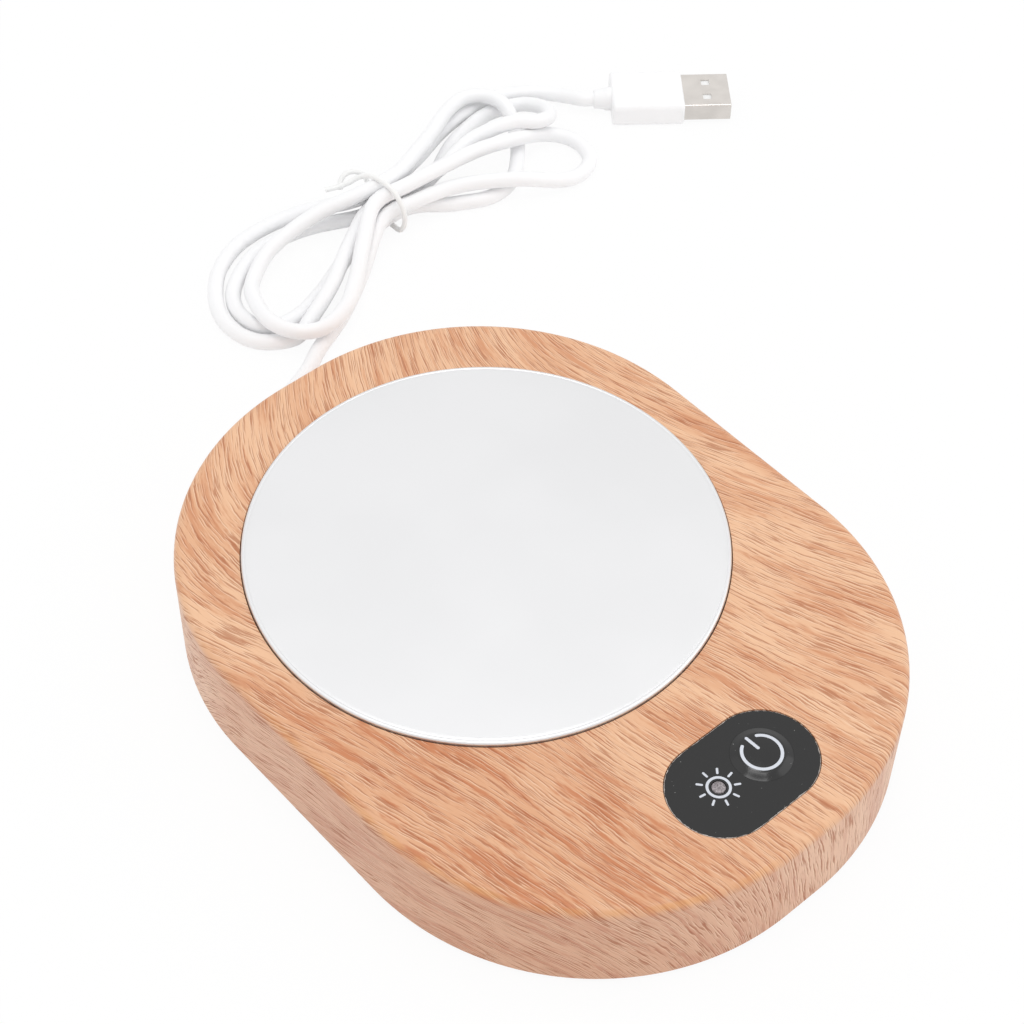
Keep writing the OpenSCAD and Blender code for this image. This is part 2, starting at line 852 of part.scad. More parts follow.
module control_panel() {
    color([0.2, 0.2, 0.21])
    at_panel()
        difference() {
            translate([0, 0, panel_under])
                linear_extrude(panel_t)
                    stadium(panel_r);
            translate([panel_x, control_shift, panel_under - joint])
                cylinder(d = button_d + 2 * button_gap, h = panel_t + 2 * joint);
            translate([-panel_x, control_shift, panel_under - joint])
                cylinder(d = led_d + 2 * led_gap, h = panel_t + 2 * joint);
            translate([-panel_x, control_shift, panel_top - sign_depth])
                linear_extrude(sign_depth + joint)
                    sun_sign();
        }
}

module panel_marks() {
    color("white")
    at_panel()
        translate([-panel_x, control_shift, panel_top - sign_depth])
            linear_extrude(sign_depth)
                sun_sign();
}

module power_button() {
    r = button_d / 2;
    color([0.18, 0.18, 0.19])
    at_panel()
        translate([panel_x, control_shift, 0])
            difference() {
                rotate_extrude($fn = 96)
                    polygon([
                        [0, stem_end], [stem_d / 2, stem_end], [stem_d / 2, flange_under],
                        [r + flange_w, flange_under], [r + flange_w, flange_top], [r, flange_top],
                        [r, panel_top + dome_foot],
                        [dome_top_d / 2 + dome_round, dome_top - dome_round],
                        [dome_top_d / 2, dome_top], [0, dome_top]
                    ]);
                translate([0, 0, dome_top - sign_depth])
                    linear_extrude(sign_depth + joint)
                        power_sign();
            }
}

module button_sign() {
    color("white")
    at_panel()
        translate([panel_x, control_shift, dome_top - sign_depth])
            linear_extrude(sign_depth)
                power_sign();
}

// ---- Circuit board ----

module circuit_board() {
    color("darkgreen")
    difference() {
        translate([-board_w / 2, board_y - board_l / 2, board_under])
            cube([board_w, board_l, board_t]);
        at_board_screws()
            translate([0, 0, board_under - joint])
                cylinder(r = hole_r, h = board_t + 2 * joint);
    }
}

module board_screws() {
    color("silver")
    at_board_screws()
        translate([0, 0, board_under])
            screw(screw_d / 2, board_screw_l);
}

module at_switch() {
    translate([panel_x, control_y, 0])
        children();
}

module switch_body() {
    depth = plunger_in + travel + plunger_floor_gap;
    color([0.15, 0.15, 0.15])
    at_switch()
        difference() {
            translate([-switch_w / 2, -switch_w / 2, board_top])
                cube([switch_w, switch_w, switch_h]);
            translate([0, 0, switch_top - depth])
                cylinder(r = plunger_d / 2 + plunger_gap, h = depth + joint);
        }
}

module switch_plunger() {
    color("black")
    at_switch()
        translate([0, 0, switch_top - plunger_in])
            cylinder(d = plunger_d, h = plunger_in + plunger_rise);
}

module status_light() {
    lens_top = panel_top + led_proud;
    color("gainsboro")
    translate([-panel_x, control_y, 0]) {
        translate([0, 0, led_base])
            cylinder(d = led_d, h = lens_top - led_base);
        translate([0, 0, led_base])
            cylinder(d = led_d + 0.8, h = led_flange_h);
        for (x = [-led_pitch, led_pitch])
            translate([x - led_leg / 2, -led_leg / 2, board_top])
                cube([led_leg, led_leg, led_base - board_top + joint]);
    }
}

module microcontroller() {
    color([0.12, 0.12, 0.12])
    translate([chip_x, part_row_y, board_top]) {
        translate([-chip_w / 2, -chip_l / 2, 0])
            cube([chip_w, chip_l, chip_h]);
        for (k = [-1.5 : 1 : 1.5], side = [-1, 1])
            translate([k * chip_pin_pitch, side * (chip_l + chip_pin_l) / 2, chip_pin_h / 2])
                cube([chip_pin_w, chip_pin_l + joint, chip_pin_h], center = true);
    }
}

module power_transistor() {
    color([0.12, 0.12, 0.12])
    translate([transistor_x, part_row_y, board_top]) {
        translate([-transistor_w / 2, -transistor_l / 2, 0])
            cube([transistor_w, transistor_l, transistor_h]);
        for (x = [-transistor_pin_x, transistor_pin_x])
            translate([x - transistor_pin_w / 2, -transistor_l / 2 - transistor_pin_l, 0])
                cube([transistor_pin_w, transistor_pin_l + joint, transistor_pin_h]);
    }
}

module capacitor() {
    color("slateblue")
    translate([can_x, board_y, board_top])
        cylinder(r = can_r, h = can_h);
}

module chip_resistors() {
    color("dimgray")
    for (y = [part_row_y - resistor_row_gap, board_rear - board_l + resistor_row_in], k = [-2 : 1])
        translate([k * resistor_pitch - resistor_w, y - resistor_l / 2, board_top])
            cube([resistor_w, resistor_l, resistor_h]);
}

// ---- Cord ----

module cord_grommet() {
    color("white")
    difference() {
        union() {
            exit_rod(grommet_in_r, inner_y - grommet_t, inner_y);
            exit_rod(grommet_d / 2, inner_y - joint, wall_y + joint);
            translate([0, wall_y, exit_z])
                rotate([-90, 0, 0])
                    cylinder(r1 = grommet_out_r, r2 = grommet_end_r, h = grommet_out);
        }
        exit_rod(cord_r + tail_gap, inner_y - grommet_t - joint, wall_y + grommet_out + joint);
    }
}

module cord_tail() {
    color("white")
    exit_rod(cord_r, tail_in_y, wall_y + grommet_out);
}

module cord_clamp() {
    color("white")
    difference() {
        translate([-clamp_l / 2, clamp_y - clamp_w / 2, clamp_boss_top])
            cube([clamp_l, clamp_w, clamp_top - clamp_boss_top]);
        exit_rod(cord_r + tail_gap, clamp_y - clamp_w, clamp_y + clamp_w);
        at_clamp_screws()
            translate([0, 0, clamp_boss_top - joint])
                cylinder(r = hole_r, h = clamp_top - clamp_boss_top + 2 * joint);
    }
}

module clamp_screws() {
    color("silver")
    at_clamp_screws()
        translate([0, 0, clamp_top])
            rotate([180, 0, 0])
                screw(screw_d / 2, clamp_screw_l);
}

// Red and black wires from the cord's end to the board
module supply_wires() {
    r = supply_wire_r;
    low = cover_top + r + wire_lift;
    color("crimson")
    for (side = [-1, 1])
        tube([
            [side * wire_gap, tail_in_y, exit_z], [side * wire_gap, tail_in_y - 2 * r, exit_z],
            [side * wire_gap, tail_in_y - wire_bend, low], [side * wire_gap, board_rear + wire_bend, low],
            [side * (wire_gap + supply_spread), board_rear - wire_in - r, board_under - 3 * r],
            [side * (wire_gap + supply_spread), board_rear - wire_in - 2 * r, board_under - 2 * r],
            [side * (wire_gap + supply_spread), board_rear - wire_in - 2 * r, board_under]
        ], r, ref = [1, 0, 0]);
}

module power_cord() {
    color("white")
    tube(CORD, cord_r);
}

module twist_tie() {
    color("white")
    tube(TIE, tie_r, sides = 8, ref = [1, 0.3, 0]);
}

// ---- Plug ----

module at_plug() {
    translate(plug_base)
        rotate([0, 0, plug_turn])
            children();
}

// Bar along X with rounded long edges, centred on the plug's axis
module soft_bar(x0, x1, w, h, r) {
    translate([x0, 0, 0])
        rotate([90, 0, 90])
            linear_extrude(x1 - x0) {
                square([w - 2 * r, h], center = true);
                square([w, h - 2 * r], center = true);
                for (i = [-1, 1], j = [-1, 1])
                    translate([i * (w / 2 - r), j * (h / 2 - r)])
                        circle(r = r, $fn = 32);
            }
}

module plug_grip() {
    color("white")
    at_plug()
        difference() {
            union() {
                soft_bar(-grip_l, 0, grip_w, grip_h, grip_corner);
                translate([-grip_l - collar_l, 0, 0])
                    rotate([0, 90, 0])
                        cylinder(r1 = collar_end_r, r2 = collar_d / 2, h = collar_l + joint);
            }
            translate([-shell_in, -shell_w / 2 - shell_gap, -shell_h / 2 - shell_gap])
                cube([shell_in + 1, shell_w + 2 * shell_gap, shell_h + 2 * shell_gap]);
        }
}

module plug_shell() {
    color("silver")
    at_plug()
        difference() {
            translate([-shell_in, -shell_w / 2, -shell_h / 2])
                cube([shell_in + shell_l, shell_w, shell_h]);
            translate([-shell_in - 1, -shell_w / 2 + shell_t, -shell_h / 2 + shell_t])
                cube([shell_in + shell_l + 2, shell_w - 2 * shell_t, shell_h - 2 * shell_t]);
            for (y = [-shell_hole_y, shell_hole_y])
                translate([shell_hole_x - shell_hole / 2, y - shell_hole / 2, -shell_h])
                    cube([shell_hole, shell_hole, 2 * shell_h]);
        }
}

module plug_tongue() {
    w = shell_w - 2 * (shell_t + shell_gap);
    top = shell_h / 2 - shell_t - shell_gap;
    color("whitesmoke")
    at_plug() {
        translate([-shell_in, -w / 2, -top])
            cube([shell_in, w, 2 * top]);
        translate([-joint, -w / 2, top - tongue_h])
            cube([tongue_l + joint, w, tongue_h]);
    }
}

module plug_contacts() {
    tongue_under = shell_h / 2 - shell_t - shell_gap - tongue_h;
    color("gold")
    at_plug()
        for (k = [-1.5 : 1 : 1.5])
            translate([joint, k * contact_pitch - contact_w / 2, tongue_under - contact_t])
                cube([contact_l, contact_w, contact_t]);
}

housing();
bottom_cover();
cover_screws();
rubber_feet();
heating_plate();
plate_gasket();
heater_element();
insulation_pad();
heater_retainer();
retainer_screws();
temperature_sensor();
thermal_fuse();
fuse_clip();
heater_leads();
sensor_leads();
control_panel();
panel_marks();
power_button();
button_sign();
circuit_board();
board_screws();
switch_body();
switch_plunger();
status_light();
microcontroller();
power_transistor();
capacitor();
chip_resistors();
cord_grommet();
cord_clamp();
clamp_screws();
cord_tail();
supply_wires();
power_cord();
twist_tie();
plug_grip();
plug_shell();
plug_tongue();
plug_contacts();
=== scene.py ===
"""Looks of an electric mug warmer: wood-grain case, round metal plate, black panel with a
domed press button and a status light, and a white cord tied in loops that ends in a plug.
Every length is in metres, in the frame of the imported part."""
import json
import math

import bmesh
import bpy
from mathutils import Matrix, Vector


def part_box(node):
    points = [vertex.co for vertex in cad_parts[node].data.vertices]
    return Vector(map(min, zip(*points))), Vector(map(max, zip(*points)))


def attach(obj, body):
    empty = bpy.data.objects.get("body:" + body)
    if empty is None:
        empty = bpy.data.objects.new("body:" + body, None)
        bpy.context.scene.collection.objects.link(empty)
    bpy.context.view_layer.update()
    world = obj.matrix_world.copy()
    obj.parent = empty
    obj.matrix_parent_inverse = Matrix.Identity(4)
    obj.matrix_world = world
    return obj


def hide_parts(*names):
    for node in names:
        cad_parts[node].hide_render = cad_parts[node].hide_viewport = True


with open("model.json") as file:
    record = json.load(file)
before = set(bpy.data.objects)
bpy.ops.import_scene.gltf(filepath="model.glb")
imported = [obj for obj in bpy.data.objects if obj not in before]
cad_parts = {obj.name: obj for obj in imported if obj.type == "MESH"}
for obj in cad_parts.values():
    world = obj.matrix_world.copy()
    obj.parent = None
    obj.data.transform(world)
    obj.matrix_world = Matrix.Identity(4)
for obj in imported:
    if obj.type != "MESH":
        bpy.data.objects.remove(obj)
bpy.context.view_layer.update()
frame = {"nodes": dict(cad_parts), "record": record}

MM = 0.001

# The camera's place, by its own angles, and the point that it looks at
VIEW_AZIMUTH = math.radians(-42.133)
VIEW_ELEVATION = math.radians(49.368)
VIEW_ROLL = math.radians(1.125)
VIEW_DISTANCE = 472.26 * MM
VIEW_TARGET = Vector((21.94, 31.10, 0)) * MM
FOCAL_PIXELS = 2312.4
FRAME_PIXELS = 1024
SENSOR = 36
CLIP_START = 10 * MM

# How close two heights are taken as one, and two points as one, and the slack of the film's flat part
NEAR = 0.01 * MM
SAME_POINT = 0.002 * MM
FLAT_SLACK = 0.001 * MM

# Sizes read from the frame
CASE_LOW, CASE_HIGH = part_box("housing")
PLATE_LOW, PLATE_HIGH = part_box("heating_plate")
PANEL_LOW, PANEL_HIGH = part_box("control_panel")
BUTTON_LOW, BUTTON_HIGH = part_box("power_button")
SIGN_LOW, SIGN_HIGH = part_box("button_sign")
_, MARKS_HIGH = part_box("panel_marks")
LIGHT_LOW, LIGHT_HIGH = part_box("status_light")
GASKET_LOW, GASKET_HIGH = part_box("plate_gasket")

# Case: its walls, the round recess and its shelf, the panel's seat and ledge, and the screw posts
CORNER_R = 52 * MM
EDGE_R = 1.8 * MM
WALL = 2.2 * MM
TOP_WALL = 2.4 * MM
SHELF = 2.2 * MM
WELL_WALL = 2 * MM
PLATE_GAP = 0.35 * MM
OPENING_IN = 4.5 * MM
PANEL_GAP = 0.15 * MM
LEDGE = 1.6 * MM
POST_X, POST_Y = 34 * MM, 54 * MM
POST_PLACES = [(x, y) for x in (-POST_X, POST_X) for y in (-POST_Y, POST_Y)]
POST_R = 3.2 * MM
POST_FOOT = 5.4 * MM
PILOT_R = 1.3 * MM
UNDER_EDGE = 0.3 * MM
FLAT_RING = 0.6 * MM

# Heating plate: how far its rim swells into the gap, its roundings, and the fine line inside the rim
PLATE_SWELL = 0.12 * MM
PLATE_ROUND = 0.55 * MM
PLATE_UNDER_EDGE = 0.2 * MM
PLATE_LINE_IN = 0.8 * MM
PLATE_LINE_HALF = 0.1 * MM
PLATE_LINE_DEEP = 0.06 * MM
PLATE_LINE_SIDE = 0.6 * MM

# Control panel
PANEL_R = 10 * MM
PANEL_EDGE = 0.12 * MM

# Power button: the dome, with the share by which its slope is steeper half way, and what is under it
BUTTON_R = 5.7 * MM
BUTTON_GAP = 0.03 * MM
DOME_TOP_R = 4.3 * MM
DOME_CROWN = 0.3 * MM
SLOPE_SWAY = 0.05
FLANGE_GAP = 0.1 * MM
FLANGE_H = 1.2 * MM
STEM_R = 2 * MM

# Power sign: an open ring, and a stroke in its gap
SIGN_LINE = 0.6 * MM
SIGN_GAP = math.radians(25)
SIGN_DEPTH = 0.2 * MM
STROKE_IN = 1.0 * MM
STROKE_LIFT = 0.04 * MM

# Status light: its lens on a flange with two legs
LENS_R = 1.3 * MM
LENS_GAP = 0.1 * MM
LENS_ROUND = 0.35 * MM
LENS_SWELL = 0.03 * MM
LENS_BASE = 2.4 * MM
LENS_FLANGE_H = 1 * MM
LEG_X = 1.27 * MM
LEG_HALF = 0.25 * MM
LEG_EDGE = 0.08 * MM

# Sun sign printed round the light, and how far the print stands out of the panel and goes into it
RING_R = 2.3 * MM
RING_LINE = 0.5 * MM
RAY_IN, RAY_OUT = 2.95 * MM, 3.85 * MM
RAY_LINE = 0.42 * MM
RAYS = 9
PRINT_OUT = 0.03 * MM
PRINT_IN = 0.01 * MM

# Cord and wire tie, as points in millimetres along the middle of each
CORD_D = 3.5 * MM
TIE_R = 0.6 * MM
CORD_PIECES = ["plug_tongue", "plug_contacts", "cord_grommet", "cord_tail"]
CORD = [
    # out of the case
    (0, 75.25, 5.5), (0, 76.4, 5.5), (0.6, 79, 5.4), (2, 81.3, 5), (4.4, 83.3, 4.3),
    (8.5, 85.3, 3.2), (14, 88.2, 2.2), (20, 92, 1.75),
    (29.5, 96.4, 1.75), (41, 103.6, 2.3), (53, 111, 6.5), (63, 111, 6.5),
    # first loop on the right
    (75, 109, 5.7), (86, 102.5, 5.5), (95.4, 98, 2.8), (101.4, 97.4, 1.75), (106, 99.4, 1.75),
    (108.2, 104.2, 1.75), (107.4, 109.6, 1.75), (103.4, 112.6, 2.8), (95.9, 112.5, 5.9),
    (85, 113.8, 7.8), (73, 113.4, 9.4), (63, 113.2, 10), (53, 113.2, 10),
    # inner loop on the left
    (44.5, 106.8, 8.2), (37, 100.2, 6.2), (30, 95.2, 5.5), (22.2, 93.2, 5.7),
    (16.8, 96.4, 5.9), (14.8, 102.8, 5.8), (17, 110.7, 4.4), (21, 117, 2.8),
    (29.5, 121.4, 4.4), (42, 121.4, 7.2), (53, 117.8, 10), (63, 117.8, 10),
    # second loop on the right
    (73, 122.2, 8.6), (81.2, 126.8, 6.6), (88.9, 131.1, 5.5), (95.3, 132.4, 5.5),
    (99.8, 129.6, 5.6), (101.3, 124.4, 5.3), (99.6, 118.5, 2.6), (94.5, 111.8, 1.75),
    (87.5, 106, 1.75), (80, 105, 1.75), (72, 108.8, 1.75), (63, 113.2, 3.1), (53, 113.2, 3.1),
    # middle loop on the left
    (42, 110.4, 1.9), (31, 105.4, 1.75), (21.7, 102.8, 1.75), (14.9, 105, 1.75),
    (13.3, 110.9, 1.75), (15.5, 117, 1.75), (21.2, 121.8, 1.75), (30, 125.2, 1.75),
    (42, 123.8, 1.75), (53, 117.8, 3.1), (63, 117.8, 3.1),
    # third loop on the right
    (74, 118.8, 2), (85, 124.6, 1.75), (95.6, 127.6, 1.75), (102, 127.2, 1.75),
    (107.3, 124.4, 2.4), (108.8, 118.6, 4.1), (106, 113.8, 6), (101.1, 112.8, 7.8),
    (95.6, 115.8, 8.5), (86, 118.8, 6.6), (74, 116.2, 5.9), (63, 115.5, 6.5), (53, 115.5, 6.5),
    # outer loop on the left
    (42, 109.3, 6), (32.5, 103, 5.3), (24, 99.4, 3.4), (18.2, 98, 1.75), (12.4, 101.1, 1.75),
    (9.6, 106.3, 1.75), (9.6, 112.8, 1.75), (12.7, 119.7, 1.75), (19.2, 126.4, 1.75),
    (29.3, 130.2, 1.75), (42, 128.2, 3), (53, 120, 6.5), (63, 120, 6.5),
    # lead to the plug
    (74, 123.8, 4.6), (86, 129.8, 1.9), (96, 131.6, 1.75), (104.6, 131.1, 1.75),
    (111.7, 127.5, 1.75), (116.6, 121.4, 2.1), (118.6, 116.2, 3.1), (120.8, 114.3, 3.1),
]
TIE = [
    (48.2, 125.2, 8.6), (50.6, 124, 8.9), (52.8, 122.8, 9.6), (54.8, 121.6, 10.9),
    (56.2, 119.4, 12.2), (56.9, 116.6, 12.6), (57.1, 113.6, 12.6), (57.2, 111, 11.8),
    (57.2, 108.6, 9.4), (57.2, 107.9, 6.5), (57.3, 108.5, 3.6), (57.5, 110.3, 1.3),
    (57.8, 113.2, 0.61), (58.1, 117.8, 0.61), (58.4, 120.4, 1.3), (58.6, 122.4, 4),
    (58.5, 123, 7), (57.6, 123.6, 9.2), (56, 124.6, 10.1), (54.2, 125.4, 9.8),
    (52.6, 125.2, 8.7), (51.6, 124, 7.7),
]

# Plug, made along X with the shell's base at zero: its grip, and the collar where the cord comes in
PLUG_BASE = Vector((137.5, 101, 3.1)) * MM
PLUG_TURN = math.radians(-38.5)
GRIP_SIZE = Vector((17.2, 14, 6.2)) * MM
GRIP_ROUND = 1.5 * MM
GRIP_END_ROUND = 0.7 * MM
SLOT_GAP = 0.05 * MM
COLLAR_L = 4.1 * MM
COLLAR_R = 2.75 * MM
COLLAR_END_R = CORD_D / 2 + 0.5 * MM
COLLAR_EDGE = 0.3 * MM
COLLAR_STEP = 0.25 * MM
COLLAR_BAND = 1.3 * MM
COLLAR_ROOT = 0.5 * MM

# The plug's shell, how far it goes into the grip, and its two square holes
SHELL_SIZE = Vector((11.1, 12, 4.5)) * MM
SHELL_WALL = 0.3 * MM
SHELL_ROUND = 0.55 * MM
SHELL_INNER_ROUND = 0.3 * MM
SHELL_LIP = 0.08 * MM
SHELL_IN = 4 * MM
SHELL_HOLE = 2 * MM
SHELL_HOLE_ROUND = 0.15 * MM
SHELL_HOLE_X = 5.6 * MM
SHELL_HOLE_Y = 2.6 * MM

# Stage and light: the floor, the world's strength as light and as it is seen, and the lamps
FLOOR_SIZE = 6
FLOOR_WHITE = (0.97, 0.97, 0.97)
FLOOR_GLOW = 0.93
WORLD_LIGHT = 0.80
WORLD_SEEN = 1.0
LAMPS = [
    # name, place, size and power
    ("back", (0.226, 0.25, 1.46), (0.25, 0.25), 1.1),
    ("over", (-0.08, -0.06, 1.46), (0.8, 0.42), 2.8),
    ("left", (-0.7, 0.9, 1.3), (1.2, 1.2), 0.8),
    ("right", (1.0, -0.7, 0.9), (1.2, 1.2), 2.8),
]


# ---- Camera ----


def place_camera():
    """Camera on a target, by azimuth, elevation, roll and distance."""
    turn = (
        Matrix.Rotation(VIEW_AZIMUTH, 4, "Z")
        @ Matrix.Rotation(math.pi / 2 - VIEW_ELEVATION, 4, "X")
        @ Matrix.Rotation(VIEW_ROLL, 4, "Z")
    )
    camera = bpy.data.objects.new("camera", bpy.data.cameras.new("camera"))
    bpy.context.collection.objects.link(camera)
    camera.matrix_world = Matrix.Translation(VIEW_TARGET) @ turn @ Matrix.Translation((0, 0, VIEW_DISTANCE))
    camera.data.sensor_fit = "HORIZONTAL"
    camera.data.sensor_width = SENSOR
    camera.data.lens = FOCAL_PIXELS / FRAME_PIXELS * SENSOR
    camera.data.clip_start = CLIP_START
    bpy.context.scene.camera = camera


# ---- Modelling ----


def deselect():
    bpy.ops.object.select_all(action="DESELECT")


def hold(piece):
    """Makes a piece the one that operators act on."""
    deselect()
    piece.select_set(True)
    bpy.context.view_layer.objects.active = piece


def named(name):
    """Names the active object and its mesh."""
    piece = bpy.context.active_object
    piece.name = name
    piece.data.name = name
    return piece


class Shaping:
    """Edit mode on one piece, for a with block."""

    def __init__(self, piece):
        self.piece = piece

    def __enter__(self):
        hold(self.piece)
        bpy.ops.object.mode_set(mode="EDIT")
        return self

    def __exit__(self, *problem):
        bpy.ops.object.mode_set(mode="OBJECT")

    def faces(self, test):
        """Selects the faces that pass a test on their centre and normal."""
        bpy.ops.mesh.select_mode(type="FACE")
        bpy.ops.mesh.select_all(action="DESELECT")
        mesh = bmesh.from_edit_mesh(self.piece.data)
        for face in mesh.faces:
            if test(face.calc_center_median(), face.normal):
                face.select_set(True)
        bmesh.update_edit_mesh(self.piece.data)

    def edges(self, test):
        """Selects the edges that pass a test on their two ends."""
        bpy.ops.mesh.select_mode(type="EDGE")
        bpy.ops.mesh.select_all(action="DESELECT")
        mesh = bmesh.from_edit_mesh(self.piece.data)
        for edge in mesh.edges:
            if test(edge.verts[0].co, edge.verts[1].co):
                edge.select_set(True)
        bmesh.update_edit_mesh(self.piece.data)

    def bevel(self, width, segments):
        bpy.ops.mesh.bevel(offset=width, segments=segments, affect="EDGES", clamp_overlap=False)

    def start_at(self, radius, height):
        """Makes the piece one point, for a profile to grow from."""
        bpy.ops.mesh.select_mode(type="VERT")
        bpy.ops.mesh.select_all(action="SELECT")
        bpy.ops.mesh.merge(type="CENTER")
        bpy.ops.transform.translate(value=(radius, 0, height))

    def grow_to(self, across, up):
        """Extrudes the last point of a profile."""
        bpy.ops.mesh.extrude_vertices_move(TRANSFORM_OT_translate={"value": (across, 0, up)})

    def spin(self, steps, angle):
        """Spins the whole profile about the upright axis."""
        bpy.ops.mesh.select_all(action="SELECT")
        bpy.ops.mesh.spin(steps=steps, angle=angle, center=(0, 0, 0), axis=(0, 0, 1))

    def clean(self):
        """Merges points that meet and turns all faces outwards."""
        bpy.ops.mesh.select_all(action="SELECT")
        bpy.ops.mesh.remove_doubles(threshold=SAME_POINT)
        bpy.ops.mesh.normals_make_consistent(inside=False)


def smooth(piece, degrees):
    """Smooth shading with sharp edges kept and flat faces left flat."""
    hold(piece)
    bpy.ops.object.shade_smooth_by_angle(angle=math.radians(degrees))
    bpy.ops.object.modifier_add(type="WEIGHTED_NORMAL")
    modifier = piece.modifiers[-1]
    modifier.keep_sharp = True
    modifier.weight = 100
    bpy.ops.object.modifier_apply(modifier=modifier.name)
    return piece


def block(name, low, high):
    """Box between two corners."""
    low, high = Vector(low), Vector(high)
    deselect()
    bpy.ops.mesh.primitive_cube_add(size=1, location=(low + high) / 2, scale=high - low)
    bpy.ops.object.transform_apply(location=True, rotation=False, scale=True)
    return named(name)


def arc(x, z, radius, start, end, steps):
    """Points of an arc in a profile, by angles in degrees."""
    angles = [math.radians(start + (end - start) * k / steps) for k in range(steps + 1)]
    return [(x + radius * math.cos(a), z + radius * math.sin(a)) for a in angles]


def patch(name):
    """Small square at the origin, which a profile starts from."""
    deselect()
    bpy.ops.mesh.primitive_plane_add(size=MM)
    return named(name)


def turned(name, profile, place, sides):
    """Solid of revolution about an upright axis, from (radius, height) points."""
    piece = patch(name)
    with Shaping(piece) as edit:
        edit.start_at(*profile[0])
        for here, there in zip(profile, profile[1:]):
            edit.grow_to(there[0] - here[0], there[1] - here[1])
        edit.spin(sides, 2 * math.pi)
        edit.clean()
        bpy.ops.transform.translate(value=(place[0], place[1], 0))
    return piece


def apply_boolean(piece, tool, operation):
    hold(piece)
    bpy.ops.object.modifier_add(type="BOOLEAN")
    modifier = piece.modifiers[-1]
    modifier.operation = operation
    modifier.solver = "EXACT"
    modifier.object = tool
    bpy.ops.object.modifier_apply(modifier=modifier.name)
    bpy.data.objects.remove(tool)


def cut(piece, tool):
    apply_boolean(piece, tool, "DIFFERENCE")


def unite(piece, tool):
    apply_boolean(piece, tool, "UNION")


def join(pieces, name):
    deselect()
    for piece in pieces:
        piece.select_set(True)
    bpy.context.view_layer.objects.active = pieces[0]
    bpy.ops.object.join()
    return named(name)


def copy_of(piece, matrix):
    """Copy with a mesh of its own, moved by a matrix."""
    other = piece.copy()
    other.data = piece.data.copy()
    other.data.transform(matrix)
    bpy.context.collection.objects.link(other)
    return other


def rounded_block(name, low, high, corner, segments):
    """Box with rounded upright edges."""
    piece = block(name, low, high)
    with Shaping(piece) as edit:
        edit.edges(lambda a, b: abs(a.z - b.z) > 0.9 * abs(high[2] - low[2]))
        edit.bevel(corner, segments)
        edit.clean()
    return piece


def middle(low, high):
    return (low + high) / 2


# ---- Cord ----


def smooth_route(points, radius, steps):
    """Smooth line through points given in millimetres, never lower than its own radius."""
    knots = [Vector(point) * MM for point in points]
    knots = [2 * knots[0] - knots[1]] + knots + [2 * knots[-1] - knots[-2]]
    line = []
    for k in range(1, len(knots) - 2):
        before, here, there, after = knots[k - 1:k + 3]
        for step in range(steps):
            t = step / steps
            place = (2 * here + (there - before) * t + (2 * before - 5 * here + 4 * there - after) * t * t
                     + (3 * here - before - 3 * there + after) * t * t * t) / 2
            place.z = max(place.z, radius)
            line.append(place)
    line.append(knots[-2])
    return line


def route_tube(name, points, radius, steps):
    """Round cord along a smooth open line, with its ends closed."""
    data = bpy.data.curves.new(name, "CURVE")
    data.dimensions = "3D"
    data.bevel_depth = radius
    data.bevel_resolution = 5
    data.use_fill_caps = True
    line = smooth_route(points, radius, steps)
    spline = data.splines.new("POLY")
    spline.points.add(len(line) - 1)
    for knot, place in zip(spline.points, line):
        knot.co = (*place, 1)
    piece = bpy.data.objects.new(name, data)
    bpy.context.collection.objects.link(piece)
    hold(piece)
    bpy.ops.object.convert(target="MESH")
    return smooth(named(name), 60)


def make_cord():
    piece = route_tube("supply_cord", CORD, CORD_D / 2, 5)
    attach(piece, "case")
    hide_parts("power_cord")
    return piece


def make_tie():
    piece = route_tube("wire_tie", TIE, TIE_R, 5)
    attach(piece, "case")
    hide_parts("twist_tie")
    return piece


place_camera()
cord = make_cord()
tie = make_tie()


# ---- Case ----


def is_edge_at(a, b, z):
    """True for an edge that lies at a height."""
    return abs(a.z - z) < NEAR and abs(b.z - z) < NEAR


def film_place(point):
    """Place on the flat film that is folded down over the case, and the length of film below the top."""
    core_x = (CASE_HIGH[0] - CASE_LOW[0]) / 2 - CORNER_R
    core_y = (CASE_HIGH[1] - CASE_LOW[1]) / 2 - CORNER_R
    core = Vector((max(-core_x, min(core_x, point.x)), max(-core_y, min(core_y, point.y))))
    out = Vector((point.x, point.y)) - core
    flat_r = CORNER_R - EDGE_R
    if out.length <= flat_r + FLAT_SLACK:
        return Vector((point.x, point.y)), 0.0
    side_top = CASE_HIGH[2] - EDGE_R
    if point.z < side_top:
        drop = EDGE_R * math.pi / 2 + side_top - point.z
    else:
        drop = EDGE_R * math.asin(min(1, (out.length - flat_r) / EDGE_R))
    return core + out.normalized() * (flat_r + drop), drop


def lay_film(piece):
    """UV map of the wood film, in decimetres, and the length of film below the top, in millimetres."""
    mesh = piece.data
    while mesh.uv_layers:
        mesh.uv_layers.remove(mesh.uv_layers[0])
    mesh.uv_layers.new(name="film")
    mesh.attributes.new("drop", "FLOAT", "CORNER")
    film = mesh.uv_layers["film"]
    drop = mesh.attributes["drop"]
    for loop in mesh.loops:
        place, below = film_place(mesh.vertices[loop.vertex_index].co)
        film.data[loop.index].uv = place / (100 * MM)
        drop.data[loop.index].value = below / MM


